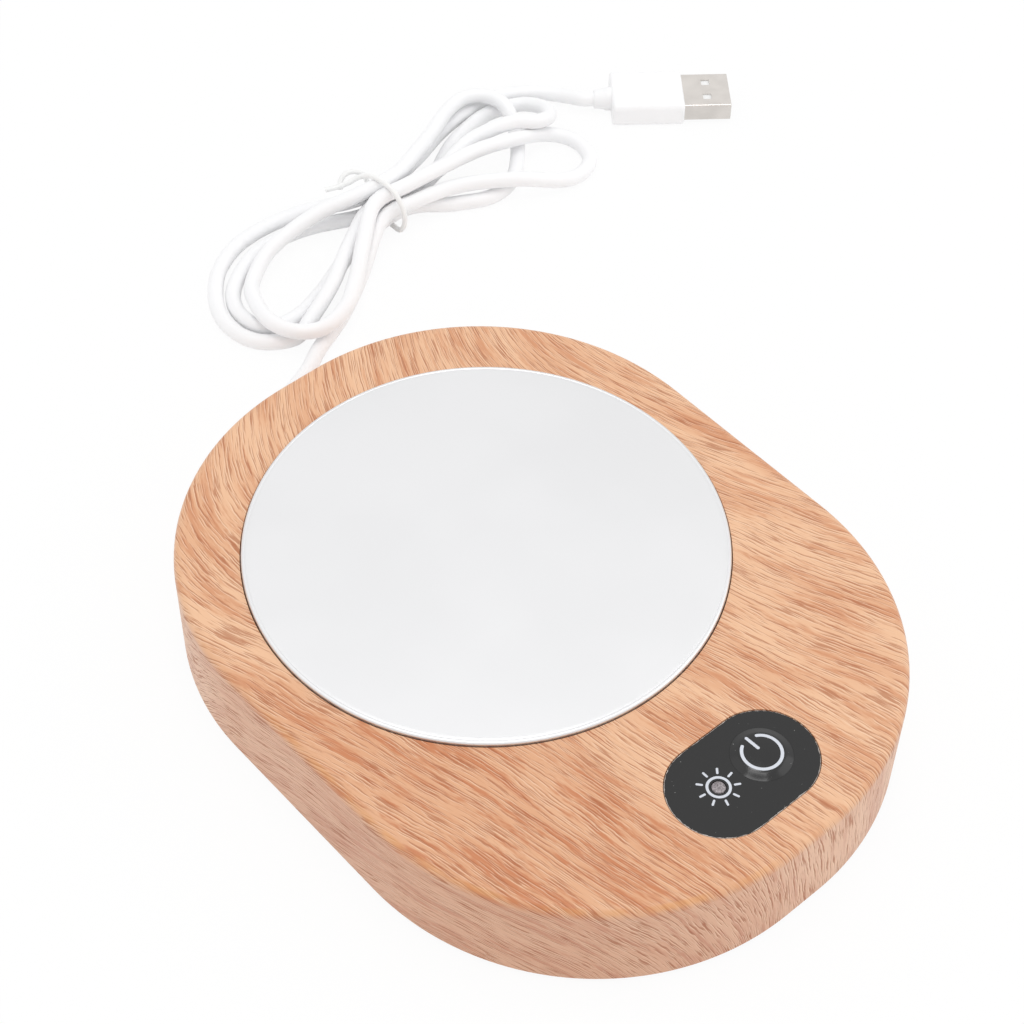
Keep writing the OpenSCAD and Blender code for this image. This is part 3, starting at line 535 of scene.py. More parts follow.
def make_case():
    low, high = Vector(CASE_LOW), Vector(CASE_HIGH)
    roof = high.z - TOP_WALL
    plate_xy = (0, middle(PLATE_LOW, PLATE_HIGH)[1])
    recess_r = (GASKET_HIGH[0] - GASKET_LOW[0]) / 2 + PLATE_GAP
    seat = GASKET_LOW[2]
    shelf = seat - SHELF
    piece = rounded_block("wood_case", low, high, CORNER_R, 48)
    with Shaping(piece) as edit:
        edit.edges(lambda a, b: is_edge_at(a, b, high.z))
        edit.bevel(EDGE_R, 6)
        edit.edges(lambda a, b: is_edge_at(a, b, low.z))
        edit.bevel(UNDER_EDGE, 2)
        # a ring that keeps the top flat in shading
        edit.faces(lambda centre, normal: normal.z > 0.999)
        bpy.ops.mesh.inset(thickness=FLAT_RING)
    # the hollow inside, less the well round the plate and the screw posts
    hollow_low = low + Vector((WALL, WALL, -MM))
    hollow_high = Vector((high.x - WALL, high.y - WALL, roof))
    hollow = rounded_block("hollow", hollow_low, hollow_high, CORNER_R - WALL, 32)
    well = [(0, shelf), (recess_r + WELL_WALL, shelf), (recess_r + WELL_WALL, high.z), (0, high.z)]
    cut(hollow, turned("well", well, plate_xy, 128))
    post = [(0, POST_FOOT), (POST_R, POST_FOOT), (POST_R, high.z), (0, high.z)]
    for place in POST_PLACES:
        cut(hollow, turned("post", post, place, 32))
    cut(piece, hollow)
    pilot = [(0, low.z), (PILOT_R, low.z), (PILOT_R, roof - MM), (0, roof - MM)]
    for place in POST_PLACES:
        cut(piece, turned("pilot", pilot, place, 24))
    # the plate's recess, open in its middle
    opening_r = recess_r - OPENING_IN
    recess = [(0, shelf - MM), (opening_r, shelf - MM), (opening_r, seat), (recess_r, seat)]
    recess += [(recess_r, high.z + MM), (0, high.z + MM)]
    cut(piece, turned("recess", recess, plate_xy, 192))
    # the panel's seat, and the hole inside its ledge
    gap = Vector((PANEL_GAP, PANEL_GAP, 0))
    seat_low = Vector(PANEL_LOW) - gap
    seat_high = Vector(PANEL_HIGH) + gap
    seat_high.z = high.z + MM
    cut(piece, rounded_block("panel_seat", seat_low, seat_high, PANEL_R + PANEL_GAP, 32))
    ledge = Vector((LEDGE, LEDGE, 0))
    hole_low = Vector(PANEL_LOW) + ledge
    hole_high = Vector(PANEL_HIGH) - ledge
    hole_low.z = roof - MM
    hole_high.z = high.z
    cut(piece, rounded_block("panel_hole", hole_low, hole_high, PANEL_R - LEDGE, 24))
    lay_film(piece)
    smooth(piece, 32)
    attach(piece, "case")
    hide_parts("housing")
    return piece


# ---- Heating plate ----


def make_plate():
    top = PLATE_HIGH[2]
    radius = (PLATE_HIGH[0] - PLATE_LOW[0]) / 2 + PLATE_SWELL
    under = GASKET_HIGH[2]
    line_r = radius - PLATE_LINE_IN
    profile = [(0, under), (radius - PLATE_UNDER_EDGE, under), (radius, under + PLATE_UNDER_EDGE)]
    profile += arc(radius - PLATE_ROUND, top - PLATE_ROUND, PLATE_ROUND, 0, 90, 8)
    profile += [(line_r + PLATE_LINE_HALF, top), (line_r, top - PLATE_LINE_DEEP)]
    profile += [(line_r - PLATE_LINE_HALF, top), (line_r - PLATE_LINE_SIDE, top), (0, top)]
    piece = turned("plate", profile, (0, middle(GASKET_LOW, GASKET_HIGH)[1]), 192)
    smooth(piece, 40)
    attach(piece, "case")
    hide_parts("heating_plate")
    return piece


# ---- Controls ----


def at_button():
    """Middle of the button, from above."""
    centre = middle(BUTTON_LOW, BUTTON_HIGH)
    return centre[0], centre[1]


def at_light():
    """Middle of the status light, from above."""
    centre = middle(LIGHT_LOW, LIGHT_HIGH)
    return centre[0], centre[1]


def make_panel():
    low, high = Vector(PANEL_LOW), Vector(PANEL_HIGH)
    piece = rounded_block("panel_film", low, high, PANEL_R, 32)
    with Shaping(piece) as edit:
        edit.edges(lambda a, b: is_edge_at(a, b, high.z))
        edit.bevel(PANEL_EDGE, 2)
    for radius, place in ((BUTTON_R + BUTTON_GAP, at_button()), (LENS_R + LENS_GAP, at_light())):
        hole = [(0, low.z - MM), (radius, low.z - MM), (radius, high.z + MM), (0, high.z + MM)]
        cut(piece, turned("hole", hole, place, 96))
    smooth(piece, 30)
    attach(piece, "case")
    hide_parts("control_panel")
    return piece


def make_button():
    top = BUTTON_HIGH[2]
    flat = PANEL_HIGH[2]
    flange_r = (BUTTON_HIGH[0] - BUTTON_LOW[0]) / 2
    flange_top = PANEL_LOW[2] - FLANGE_GAP
    flange_under = flange_top - FLANGE_H
    rise = top - flat
    slope = BUTTON_R - DOME_TOP_R
    profile = [(0, BUTTON_LOW[2]), (STEM_R, BUTTON_LOW[2]), (STEM_R, flange_under), (flange_r, flange_under)]
    profile += [(flange_r, flange_top), (BUTTON_R, flange_top), (BUTTON_R, flat)]
    # a nearly straight slope, a little steeper half way, then a low crown
    for k in range(1, 13):
        t = k / 12
        climb = t - SLOPE_SWAY * math.sin(2 * math.pi * t) / (2 * math.pi)
        profile.append((BUTTON_R - slope * t, flat + (rise - DOME_CROWN) * climb))
    for k in range(1, 9):
        t = 1 - k / 8
        profile.append((DOME_TOP_R * t, top - DOME_CROWN * t * t))
    piece = turned("button_cap", profile, at_button(), 96)
    smooth(piece, 40)
    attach(piece, "button")
    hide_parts("power_button")
    return piece


def bar(name, start, end, width, low, high):
    """Upright-sided bar with round ends along X."""
    return rounded_block(name, (start - width / 2, -width / 2, low), (end + width / 2, width / 2, high),
                         width / 2, 8)


def ring(name, outer, width, low, high, place):
    """Flat ring about an upright axis."""
    profile = [(outer - width, low), (outer, low), (outer, high), (outer - width, high), (outer - width, low)]
    return turned(name, profile, place, 96)


def open_ring(name, outer, width, low, high, gap):
    """Flat ring about the origin with a gap of a given half angle towards +Y, and round ends."""
    piece = patch(name)
    with Shaping(piece) as edit:
        edit.start_at(outer - width, high)
        edit.grow_to(width, 0)
        edit.spin(72, 2 * (math.pi - gap))
        bpy.ops.mesh.select_all(action="SELECT")
        bpy.ops.mesh.extrude_region_move(TRANSFORM_OT_translate={"value": (0, 0, low - high)})
        edit.clean()
    turn_to_gap(piece)
    with Shaping(piece) as edit:
        edit.edges(lambda a, b: abs(a.z - b.z) > 0.5 * (high - low) and is_ring_end(a, gap))
        edit.bevel(width * 0.48, 5)
        edit.clean()
    return piece


def turn_to_gap(piece):
    """Turns an open ring so that the middle of its gap lies towards +Y."""
    angles = sorted(math.atan2(vertex.co.y, vertex.co.x) % (2 * math.pi) for vertex in piece.data.vertices)
    spaces = [(b - a, a) for a, b in zip(angles, angles[1:] + [angles[0] + 2 * math.pi])]
    widest, start = max(spaces)
    piece.data.transform(Matrix.Rotation(math.pi / 2 - start - widest / 2, 4, "Z"))


def is_ring_end(point, gap):
    """True where a point's angle from +Y is the gap's half angle."""
    angle = abs(math.atan2(point.x, point.y))
    return abs(angle - gap) < math.radians(1)


def crown_drop(radius):
    """How far the dome's crown lies below its middle, at a radius."""
    return DOME_CROWN * (radius / DOME_TOP_R) ** 2


def make_button_sign():
    top = SIGN_HIGH[2]
    outer = (SIGN_HIGH[0] - SIGN_LOW[0]) / 2
    ring_top = top - crown_drop(outer - SIGN_LINE)
    sign_ring = open_ring("sign_ring", outer, SIGN_LINE, ring_top - SIGN_DEPTH, ring_top, SIGN_GAP)
    # the stroke leans with the crown
    length = outer - STROKE_IN
    stroke = bar("stroke", 0, length, SIGN_LINE, -SIGN_DEPTH, 0)
    lean = Matrix.Rotation(math.atan2(crown_drop(outer) - crown_drop(STROKE_IN), length), 4, "Y")
    place = Matrix.Translation((STROKE_IN, 0, top - crown_drop(STROKE_IN) + STROKE_LIFT))
    stroke.data.transform(Matrix.Rotation(math.pi / 2, 4, "Z") @ place @ lean)
    piece = join([sign_ring, stroke], "power_sign")
    x, y = at_button()
    piece.data.transform(Matrix.Translation((x, y, 0)))
    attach(piece, "button")
    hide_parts("button_sign")
    return piece


def make_marks():
    top = MARKS_HIGH[2]
    low, high = top - PRINT_IN, top + PRINT_OUT
    parts = [ring("light_ring", RING_R, RING_LINE, low, high, (0, 0))]
    ray = bar("ray", RAY_IN, RAY_OUT, RAY_LINE, low, high)
    for k in range(RAYS):
        parts.append(copy_of(ray, Matrix.Rotation(math.radians(90 + 360 / RAYS * k), 4, "Z")))
    bpy.data.objects.remove(ray)
    piece = join(parts, "sun_sign")
    x, y = at_light()
    piece.data.transform(Matrix.Translation((x, y, 0)))
    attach(piece, "case")
    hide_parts("panel_marks")
    return piece


def make_light():
    top = LIGHT_HIGH[2]
    low = LIGHT_LOW[2]
    base = low + LENS_BASE
    flange_r = (LIGHT_HIGH[0] - LIGHT_LOW[0]) / 2
    flange_top = base + LENS_FLANGE_H
    profile = [(0, base), (flange_r, base), (flange_r, flange_top), (LENS_R, flange_top)]
    profile += arc(LENS_R - LENS_ROUND, top - LENS_ROUND, LENS_ROUND, 0, 90, 5)
    profile += [(LENS_R / 2, top + LENS_SWELL * 2 / 3), (0, top + LENS_SWELL)]
    piece = turned("lens", profile, at_light(), 64)
    legs = []
    x, y = at_light()
    for leg_x in (x - LEG_X, x + LEG_X):
        leg_low = (leg_x - LEG_HALF, y - LEG_HALF, low)
        leg_high = (leg_x + LEG_HALF, y + LEG_HALF, base)
        legs.append(rounded_block("leg", leg_low, leg_high, LEG_EDGE, 2))
    piece = join([piece] + legs, "lens")
    smooth(piece, 40)
    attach(piece, "case")
    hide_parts("status_light")
    return piece


# ---- Plug ----


def to_plug(piece):
    """Moves a piece that is made along X to the plug's place."""
    piece.data.transform(Matrix.Translation(PLUG_BASE) @ Matrix.Rotation(PLUG_TURN, 4, "Z"))


def make_grip():
    half = GRIP_SIZE / 2
    piece = block("grip", (-GRIP_SIZE.x, -half.y, -half.z), (0, half.y, half.z))
    with Shaping(piece) as edit:
        edit.edges(lambda a, b: abs(a.x - b.x) > 0.9 * GRIP_SIZE.x)
        edit.bevel(GRIP_ROUND, 8)
        edit.faces(lambda centre, normal: abs(normal.x) > 0.99)
        bpy.ops.mesh.region_to_loop()
        edit.bevel(GRIP_END_ROUND, 4)
    slot = SHELL_SIZE / 2 + Vector((0, SLOT_GAP, SLOT_GAP))
    cut(piece, block("slot", (-SHELL_IN, -slot.y, -slot.z), (MM, slot.y, slot.z)))
    back = -GRIP_SIZE.x
    bottom = back - COLLAR_L
    profile = [(0, bottom), (COLLAR_END_R - COLLAR_EDGE, bottom), (COLLAR_END_R, bottom + COLLAR_EDGE)]
    profile += [(COLLAR_R - COLLAR_STEP, back - COLLAR_BAND - COLLAR_EDGE), (COLLAR_R, back - COLLAR_BAND)]
    profile += [(COLLAR_R, back + COLLAR_ROOT), (0, back + COLLAR_ROOT)]
    collar = turned("collar", profile, (0, 0), 48)
    collar.data.transform(Matrix.Rotation(math.pi / 2, 4, "Y"))
    unite(piece, collar)
    smooth(piece, 40)
    to_plug(piece)
    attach(piece, "case")
    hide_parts("plug_grip")
    return piece


def make_shell():
    half = SHELL_SIZE / 2
    length = SHELL_SIZE.x + SHELL_IN
    piece = block("shell", (-SHELL_IN, -half.y, -half.z), (SHELL_SIZE.x, half.y, half.z))
    with Shaping(piece) as edit:
        edit.edges(lambda a, b: abs(a.x - b.x) > 0.9 * length)
        edit.bevel(SHELL_ROUND, 5)
    inner = block("inner", (-SHELL_IN - MM, -half.y + SHELL_WALL, -half.z + SHELL_WALL),
                  (SHELL_SIZE.x + MM, half.y - SHELL_WALL, half.z - SHELL_WALL))
    with Shaping(inner) as edit:
        edit.edges(lambda a, b: abs(a.x - b.x) > 0.9 * length)
        edit.bevel(SHELL_INNER_ROUND, 4)
    cut(piece, inner)
    reach = Vector((SHELL_HOLE / 2, SHELL_HOLE / 2, 2 * half.z))
    for y in (-SHELL_HOLE_Y, SHELL_HOLE_Y):
        centre = Vector((SHELL_HOLE_X, y, 0))
        cut(piece, rounded_block("window", centre - reach, centre + reach, SHELL_HOLE_ROUND, 3))
    with Shaping(piece) as edit:
        edit.edges(lambda a, b: min(a.x, b.x) > SHELL_SIZE.x - NEAR)
        edit.bevel(SHELL_LIP, 2)
    smooth(piece, 35)
    to_plug(piece)
    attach(piece, "case")
    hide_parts("plug_shell")
    return piece


# ---- Materials ----


class Wire:
    """An output of a shader node. Arithmetic on wires adds Math nodes."""

    def __init__(self, paint, socket):
        self.paint = paint
        self.socket = socket

    def __add__(self, other):
        return self.paint.math("ADD", self, other)

    __radd__ = __add__

    def __sub__(self, other):
        return self.paint.math("SUBTRACT", self, other)

    def __rsub__(self, other):
        return self.paint.math("SUBTRACT", other, self)

    def __mul__(self, other):
        return self.paint.math("MULTIPLY", self, other)

    __rmul__ = __mul__

    def __truediv__(self, other):
        return self.paint.math("DIVIDE", self, other)

    def __pow__(self, other):
        return self.paint.math("POWER", self, other)

    def ramp(self, low, high):
        """0 below low, 1 above high, and a smooth step between them."""
        return self.paint.node(
            "ShaderNodeMapRange", {"interpolation_type": "SMOOTHSTEP"},
            {"Value": self, "From Min": low, "From Max": high},
        )


class Paint:
    """A material on the standard shader, and the nodes that feed it."""

    def __init__(self, name, colour, roughness, metallic=0.0, **fixed):
        self.material = bpy.data.materials.new(name)
        self.material.use_nodes = True
        self.tree = self.material.node_tree
        self.shader = self.tree.nodes["Principled BSDF"]
        self.shader.inputs["Base Color"].default_value = (*colour, 1)
        self.shader.inputs["Roughness"].default_value = roughness
        self.shader.inputs["Metallic"].default_value = metallic
        for socket, value in fixed.items():
            self.shader.inputs[socket.replace("_", " ")].default_value = value

    def node(self, kind, settings=None, sockets=None, out=0):
        """Adds a node with its settings, fills or links its sockets, and gives one output."""
        item = self.tree.nodes.new(kind)
        for key, value in (settings or {}).items():
            setattr(item, key, value)
        for key, value in (sockets or {}).items():
            if isinstance(value, Wire):
                self.tree.links.new(value.socket, item.inputs[key])
            else:
                item.inputs[key].default_value = value
        return Wire(self, item.outputs[out])

    def math(self, operation, a, b):
        return self.node("ShaderNodeMath", {"operation": operation}, {0: a, 1: b})

    def split(self, vector):
        item = self.node("ShaderNodeSeparateXYZ", None, {0: vector}).socket.node
        return [Wire(self, output) for output in item.outputs]

    def object_place(self):
        """The three coordinates of a point, in millimetres."""
        place = self.node("ShaderNodeTexCoord", out="Object")
        return [value * 1000 for value in self.split(place)]

    def noise(self, x, y, z, detail=2.0, roughness=0.5):
        place = self.node("ShaderNodeCombineXYZ", None, {0: x, 1: y, 2: z})
        return self.node(
            "ShaderNodeTexNoise", None,
            {"Vector": place, "Scale": 1.0, "Detail": detail, "Roughness": roughness},
        )

    def mix(self, factor, a, b):
        """Blend of two colours, each a triple or a wire."""
        a = a if isinstance(a, Wire) else (*a, 1)
        b = b if isinstance(b, Wire) else (*b, 1)
        return self.node("ShaderNodeMix", {"data_type": "RGBA"}, {0: factor, 6: a, 7: b}, out=2)

    def feed(self, socket, wire):
        self.tree.links.new(wire.socket, self.shader.inputs[socket])

    def bump(self, height, depth):
        """Relief of a height from 0 to 1 that is depth metres deep."""
        relief = {"Strength": 1.0, "Distance": depth, "Height": height}
        self.feed("Normal", self.node("ShaderNodeBump", None, relief))


def linear(red, green, blue):
    """Shader colour of a screen colour given from 0 to 255."""
    shares = [value / 255 for value in (red, green, blue)]
    return tuple(((c + 0.055) / 1.055) ** 2.4 if c > 0.04 else c / 12.92 for c in shares)


def wood_film():
    """Oak film: bands, long streaks, and fine dark lines with a painted highlight beside each; the sides get
    a painted sheen and the rounded top edge a painted highlight.
    """
    paint = Paint("wood_film", linear(224, 176, 140), 0.42)
    film = paint.node("ShaderNodeUVMap", {"uv_map": "film"})
    x, y, _ = paint.split(film)
    x, y = x * 100, y * 100
    drop = paint.node("ShaderNodeAttribute", {"attribute_name": "drop"}, out="Fac")
    # the grain leans across the case and bows at the plate's far end;
    # neighbouring lines share their waves and kinks
    far = paint.math("MAXIMUM", y + x * 0.1 - 30, 0.0)
    bow = x * (1 + y * 0.0012) + y * (x * x * 0.00005 + 0.19) - far * far * 0.0105
    wave = (paint.noise(bow / 14, y / 20, 3.0, detail=0) - 0.5) * 3.0
    kink = (paint.noise(bow / 4, y / 4, 8.0, detail=2) - 0.5) * 0.45
    across = bow + wave + kink
    grit = paint.noise(across / 0.35, y / 2, 23.0, detail=2, roughness=0.6)
    fine_noise = paint.noise(across / 0.32, y / 8, 11.0, detail=2, roughness=0.6)
    beside = paint.noise((across + 0.17) / 0.32, y / 8, 11.0, detail=2, roughness=0.6)
    hair_noise = paint.noise(across / 0.65, y / 15, 17.0, detail=3, roughness=0.6)
    streak_noise = paint.noise(across / 1.6, y / 17, 5.0, detail=3, roughness=0.55)
    band_noise = paint.noise(across / 6.5, y / 30, 1.0, detail=1)
    # the film is darker towards its heart, at the button end
    heart = (1 - bow.ramp(-36, -8)) * (1 - y.ramp(-12, 22))
    # the sides below the top edge, which get a painted sheen and stronger grain lines
    side = drop.ramp(1.0, 3.2)
    band = (band_noise + heart * 0.08).ramp(0.40, 0.66)
    clump = streak_noise + (band_noise - 0.5) * 0.45 + (grit - 0.5) * 0.20 + heart * 0.03
    streak = clump.ramp(0.50, 0.66)
    hair = (hair_noise + (grit - 0.5) * 0.34).ramp(0.51, 0.65)
    line = (fine_noise + (hair_noise - 0.5) * 0.35).ramp(0.51, 0.61)
    # painted highlight: a pale line laid just beside each dark line, standing for light caught on its relief
    painted_line_highlight = (beside + (hair_noise - 0.5) * 0.35).ramp(0.51, 0.61) * (1 - line)
    tone = paint.mix(band, linear(238, 191, 153), linear(227, 173, 134))
    tone = paint.mix(heart * 0.45, tone, linear(216, 156, 115))
    tone = paint.mix(streak * (0.50 + heart * 0.36), tone, linear(198, 121, 76))
    tone = paint.mix(hair * 0.36, tone, linear(194, 124, 80))
    # painted sheen: the sides are blended towards a paler, greyer pink that stands for the white surroundings
    # reflected at a grazing angle
    tone = paint.mix(side * 0.30, tone, linear(206, 168, 152))
    tone = paint.mix(line * (0.58 + side * 0.12), tone, linear(164, 90, 50))
    # the painted highlight beside the dark lines, pale cream, a little stronger on the sides
    tone = paint.mix(painted_line_highlight * (0.44 + side * 0.10), tone, linear(251, 222, 193))
    # painted highlight: a brighter orange band along the rounded top edge, strongest towards the heart
    painted_edge_highlight = drop.ramp(0.3, 0.9) * (1 - drop.ramp(1.2, 2.2)) * paint.noise(x / 9, y / 9, 2.0).ramp(0.4, 0.6)
    tone = paint.mix(painted_edge_highlight * (0.1 + heart * 0.35), tone, linear(228, 164, 102))
    paint.feed("Base Color", tone)
    paint.feed("Roughness", 0.40 + line * 0.15)
    paint.bump(1 - line * 0.6 - hair * 0.4, 0.03 * MM)
    return paint.material


def moulded(name, colour, roughness, relief=0.01, shade=0.06):
    """Moulded plastic: fine texture, slight unevenness of tone."""
    paint = Paint(name, colour, roughness)
    x, y, z = paint.object_place()
    soft = paint.noise(x / 9, y / 9, z / 9, detail=2)
    fine = paint.noise(x / 0.6, y / 0.6, z / 0.6, detail=3)
    dark = tuple(c * (1 - shade) for c in colour)
    light = tuple(min(1, c * (1 + shade)) for c in colour)
    paint.feed("Base Color", paint.mix(soft.ramp(0.3, 0.7), dark, light))
    paint.feed("Roughness", roughness - 0.06 + fine * 0.12)
    paint.bump(fine, relief * MM)
    return paint.material


def plate_metal():
    """Satin silver coating with fine flecks."""
    paint = Paint("plate_metal", linear(230, 230, 232), 0.34, 0.9)
    x, y, z = paint.object_place()
    cloud = paint.noise(x / 30, y / 30, z / 30, detail=2)
    fleck = paint.noise(x / 0.25, y / 0.25, z / 0.25, detail=1)
    tone = paint.mix(cloud.ramp(0.3, 0.7), linear(226, 226, 227), linear(229, 229, 230))
    tone = paint.mix(fleck.ramp(0.62, 0.8) * 0.15, tone, linear(214, 214, 216))
    paint.feed("Base Color", tone)
    paint.feed("Roughness", 0.36 + fleck * 0.08)
    paint.bump(fleck, 0.004 * MM)
    return paint.material


def panel_black():
    """Smooth black film with a little dust."""
    paint = Paint("panel_black", linear(16, 16, 17), 0.16, Specular_IOR_Level=0.58)
    x, y, z = paint.object_place()
    fine = paint.noise(x / 0.18, y / 0.18, z / 0.18, detail=2)
    dust = paint.noise(x / 0.4, y / 0.4, z / 0.4, detail=0) + (paint.noise(x / 4, y / 4, 6.0) - 0.5) * 0.1
    tone = paint.mix(fine.ramp(0.3, 0.7), linear(7, 7, 8), linear(13, 13, 13))
    tone = paint.mix(dust.ramp(0.83, 0.86) * 0.5, tone, linear(150, 150, 148))
    # the film's cut edge, chipped here and there
    panel_y = middle(PANEL_LOW, PANEL_HIGH)[1] / MM
    core = (PANEL_HIGH[0] - PANEL_R) / MM
    beyond = paint.math("MAXIMUM", paint.math("ABSOLUTE", x, 0.0) - core, 0.0)
    offset = y - panel_y
    edge = (beyond * beyond + offset * offset) ** 0.5
    chip = paint.noise(x / 1.1, y / 1.1, 4.0, detail=2)
    reach = edge + (chip - 0.5) * 0.5
    paint.feed("Base Color", paint.mix(reach.ramp(9.86, 9.93) * 0.8, tone, linear(214, 204, 196)))
    paint.feed("Roughness", 0.12 + fine * 0.08)
    paint.bump(fine, 0.003 * MM)
    return paint.material


def sheet_metal(name, colour, roughness=0.3):
    """Rolled sheet with fine lines along X."""
    paint = Paint(name, colour, roughness, 1.0)
    x, y, z = paint.object_place()
    brushed = paint.noise(x / 6, (y + z) / 0.08, 2.0, detail=2)
    soft = paint.noise(x / 5, y / 5, z / 5, detail=2)
    dark = tuple(c * 0.9 for c in colour)
    paint.feed("Base Color", paint.mix(soft.ramp(0.3, 0.7), dark, colour))
    paint.feed("Roughness", roughness - 0.05 + brushed * 0.12)
    paint.bump(brushed, 0.003 * MM)
    return paint.material


def light_lens():
    """Frosted grey lens."""
    paint = Paint("light_lens", linear(128, 121, 123), 0.35)
    x, y, z = paint.object_place()
    grain = paint.noise(x / 0.28, y / 0.28, z / 0.28, detail=2, roughness=0.7)
    paint.feed("Base Color", paint.mix(grain.ramp(0.36, 0.66), linear(108, 102, 104), linear(172, 164, 166)))
    paint.bump(grain, 0.03 * MM)
    return paint.material


def heater_film():
    """Heater film with a track in rings."""
    paint = Paint("heater_film", linear(170, 110, 52), 0.35)
    x, y, _ = paint.object_place()
    y = y - middle(PLATE_LOW, PLATE_HIGH)[1] / MM
    radius = (x * x + y * y) ** 0.5
    track = paint.math("PINGPONG", radius, 2.4).ramp(0.9, 1.3)
    paint.feed("Base Color", paint.mix(track, linear(176, 112, 50), linear(150, 146, 138)))
    paint.bump(track, 0.03 * MM)
    return paint.material


def board_green():
    """Green solder mask over copper tracks."""
    paint = Paint("board_green", linear(30, 104, 60), 0.3)
    x, y, _ = paint.object_place()
    cell = paint.node(
        "ShaderNodeTexVoronoi", {"distance": "MANHATTAN"},
        {"Vector": paint.node("ShaderNodeCombineXYZ", None, {0: x / 3, 1: y / 3}), "Scale": 1.0},
    )
    track = paint.math("PINGPONG", x + y * 0.2, 1.2).ramp(0.5, 0.6) * cell.ramp(0.3, 0.5)
    paint.feed("Base Color", paint.mix(track * 0.8, linear(24, 92, 52), linear(58, 140, 88)))
    paint.bump(track, 0.02 * MM)
    return paint.material


def insulation():
    """Pressed pale fibre."""
    paint = Paint("insulation", linear(238, 236, 228), 0.9)
    x, y, z = paint.object_place()
    fibre = paint.noise(x / 0.4, y / 1.6, z / 0.4, detail=4, roughness=0.7)
    paint.feed("Base Color", paint.mix(fibre.ramp(0.35, 0.65), linear(222, 219, 210), linear(244, 242, 236)))
    paint.bump(fibre, 0.12 * MM)
    return paint.material


PAINTS = {
    "wood_grain": wood_film(),
    "cover_plastic": moulded("cover_plastic", linear(214, 176, 142), 0.55, relief=0.03),
    "screw_steel": sheet_metal("screw_steel", linear(190, 190, 193)),
    "foot_rubber": moulded("foot_rubber", linear(52, 52, 53), 0.75, relief=0.03),
    "plate_metal": plate_metal(),
    "seal_rubber": moulded("seal_rubber", linear(46, 36, 30), 0.7, relief=0.02),
    "heater_film": heater_film(),
    "insulation": insulation(),
    "bracket_steel": sheet_metal("bracket_steel", linear(198, 199, 200), 0.35),
    "copper": sheet_metal("copper", linear(208, 150, 112), 0.28),
    "fuse_ceramic": moulded("fuse_ceramic", linear(236, 230, 214), 0.25),
    "wire_red": moulded("wire_red", linear(186, 36, 32), 0.5),
    "wire_black": moulded("wire_black", linear(40, 40, 41), 0.5),
    "panel_black": panel_black(),
    "mark_white": moulded("mark_white", linear(214, 218, 226), 0.5, shade=0.03),
    "board_green": board_green(),
    "chip_black": moulded("chip_black", linear(44, 44, 45), 0.6, relief=0.02),
    "light_lens": light_lens(),
    "can_sleeve": moulded("can_sleeve", linear(56, 66, 118), 0.3),
    "cord_white": moulded("cord_white", linear(251, 251, 252), 0.42, shade=0.005),
    "clamp_plastic": moulded("clamp_plastic", linear(232, 232, 228), 0.5),
    "tie_white": moulded("tie_white", linear(248, 248, 247), 0.45, shade=0.01),
    "plug_steel": sheet_metal("plug_steel", linear(222, 217, 212), 0.3),
    "tongue_white": moulded("tongue_white", linear(244, 244, 244), 0.45, shade=0.02),
    "contact_brass": sheet_metal("contact_brass", linear(226, 190, 110), 0.25),
}


def paint_piece(piece, slot):
    """Gives a made piece the paint of a slot."""
    piece.data.materials.clear()
    piece.data.materials.append(PAINTS[slot])


def paint_nodes():
    """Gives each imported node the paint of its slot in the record."""
    for row in frame["record"]["subparts"]:
        node = frame["nodes"][row["node"]]
        for slot in node.material_slots:
            slot.material = PAINTS[row["material_slot"]]


# ---- Stage and light ----


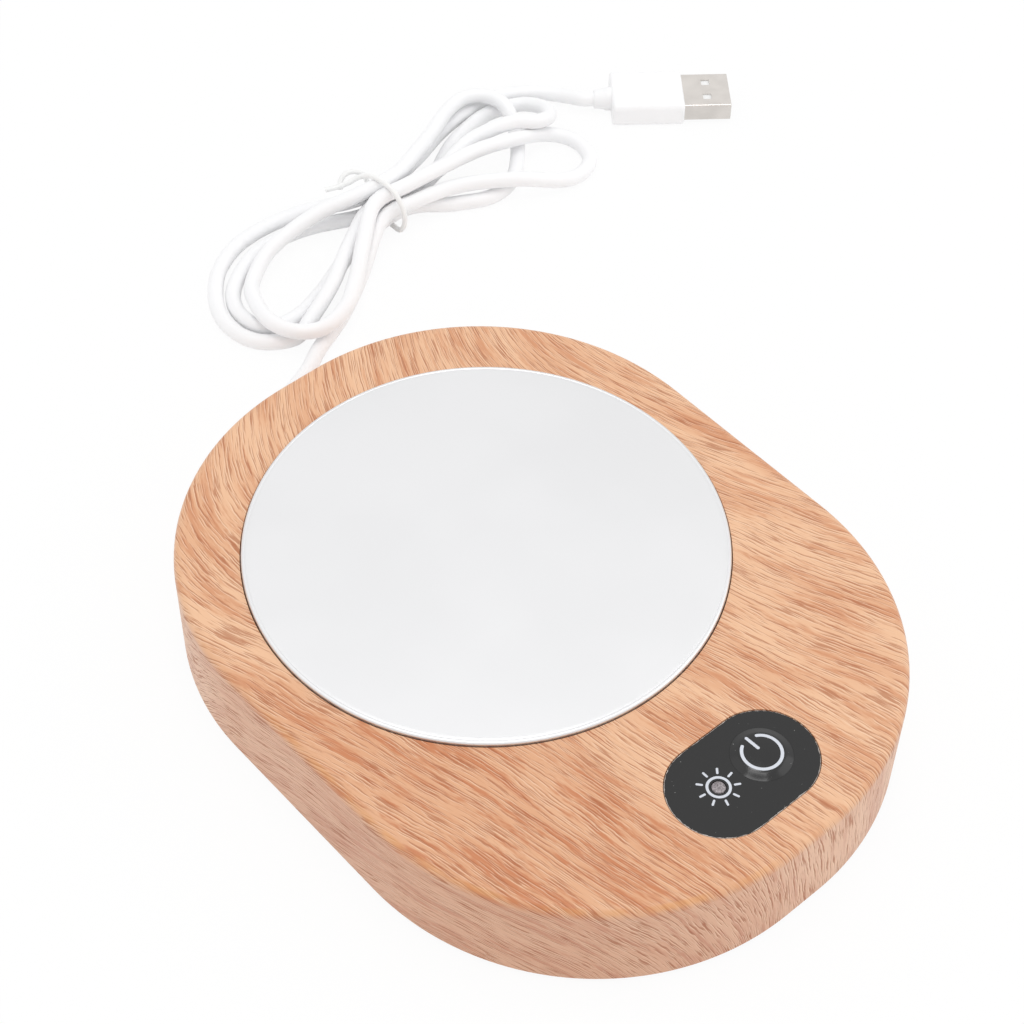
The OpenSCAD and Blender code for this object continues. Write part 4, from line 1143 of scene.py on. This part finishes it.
def make_stage():
    """Pale floor. What sees it directly or in gloss sees mostly its even glow, with some shadow left."""
    deselect()
    bpy.ops.mesh.primitive_plane_add(size=FLOOR_SIZE)
    floor = named("floor")
    paint = Paint("floor_white", FLOOR_WHITE, 0.9)
    ray = paint.node("ShaderNodeLightPath").socket.node.outputs
    seen = Wire(paint, ray["Is Camera Ray"]) + Wire(paint, ray["Is Glossy Ray"])
    seen = seen + Wire(paint, ray["Is Transmission Ray"])
    glow = paint.node("ShaderNodeEmission", None, {"Color": (1, 1, 1, 1), "Strength": 1.0})
    body = Wire(paint, paint.shader.outputs[0])
    blend = paint.node("ShaderNodeMixShader", None, {0: seen * FLOOR_GLOW, 1: body, 2: glow})
    paint.tree.links.new(blend.socket, paint.tree.nodes["Material Output"].inputs["Surface"])
    floor.data.materials.append(paint.material)


def make_world():
    """White surroundings, a little dimmer as light than as they are seen."""
    world = bpy.data.worlds.new("studio")
    bpy.context.scene.world = world
    world.use_nodes = True
    tree = world.node_tree
    background = tree.nodes["Background"]
    background.inputs["Color"].default_value = (1, 1, 1, 1)
    path = tree.nodes.new("ShaderNodeLightPath")
    seen = tree.nodes.new("ShaderNodeMath")
    seen.operation = "MAXIMUM"
    tree.links.new(path.outputs["Is Camera Ray"], seen.inputs[0])
    tree.links.new(path.outputs["Is Glossy Ray"], seen.inputs[1])
    strength = tree.nodes.new("ShaderNodeMapRange")
    strength.inputs["To Min"].default_value = WORLD_LIGHT
    strength.inputs["To Max"].default_value = WORLD_SEEN
    tree.links.new(seen.outputs[0], strength.inputs["Value"])
    tree.links.new(strength.outputs[0], background.inputs["Strength"])


def make_lamp(name, place, size, power):
    """Soft rectangular lamp turned towards the origin."""
    lamp = bpy.data.lights.new(name, "AREA")
    lamp.shape = "RECTANGLE"
    lamp.size, lamp.size_y = size
    lamp.energy = power
    holder = bpy.data.objects.new(name, lamp)
    bpy.context.collection.objects.link(holder)
    holder.location = place
    aim = Vector((0, 0, 0)) - Vector(place)
    holder.rotation_euler = aim.to_track_quat("-Z", "Y").to_euler()


case = make_case()
plate = make_plate()
panel = make_panel()
button = make_button()
sign = make_button_sign()
marks = make_marks()
lens = make_light()
grip = make_grip()
shell = make_shell()
[tuple(place) for place in smooth_route(CORD, CORD_D / 2, 2)]
[tie, grip, shell] + [frame["nodes"][name] for name in CORD_PIECES]

paint_nodes()
for piece, slot in (
    (case, "wood_grain"), (plate, "plate_metal"), (panel, "panel_black"), (button, "panel_black"),
    (sign, "mark_white"), (marks, "mark_white"), (lens, "light_lens"), (grip, "cord_white"),
    (shell, "plug_steel"), (cord, "cord_white"), (tie, "tie_white"),
):
    paint_piece(piece, slot)

make_stage()
make_world()
for lamp in LAMPS:
    make_lamp(*lamp)
bpy.context.scene.view_settings.view_transform = "Standard"
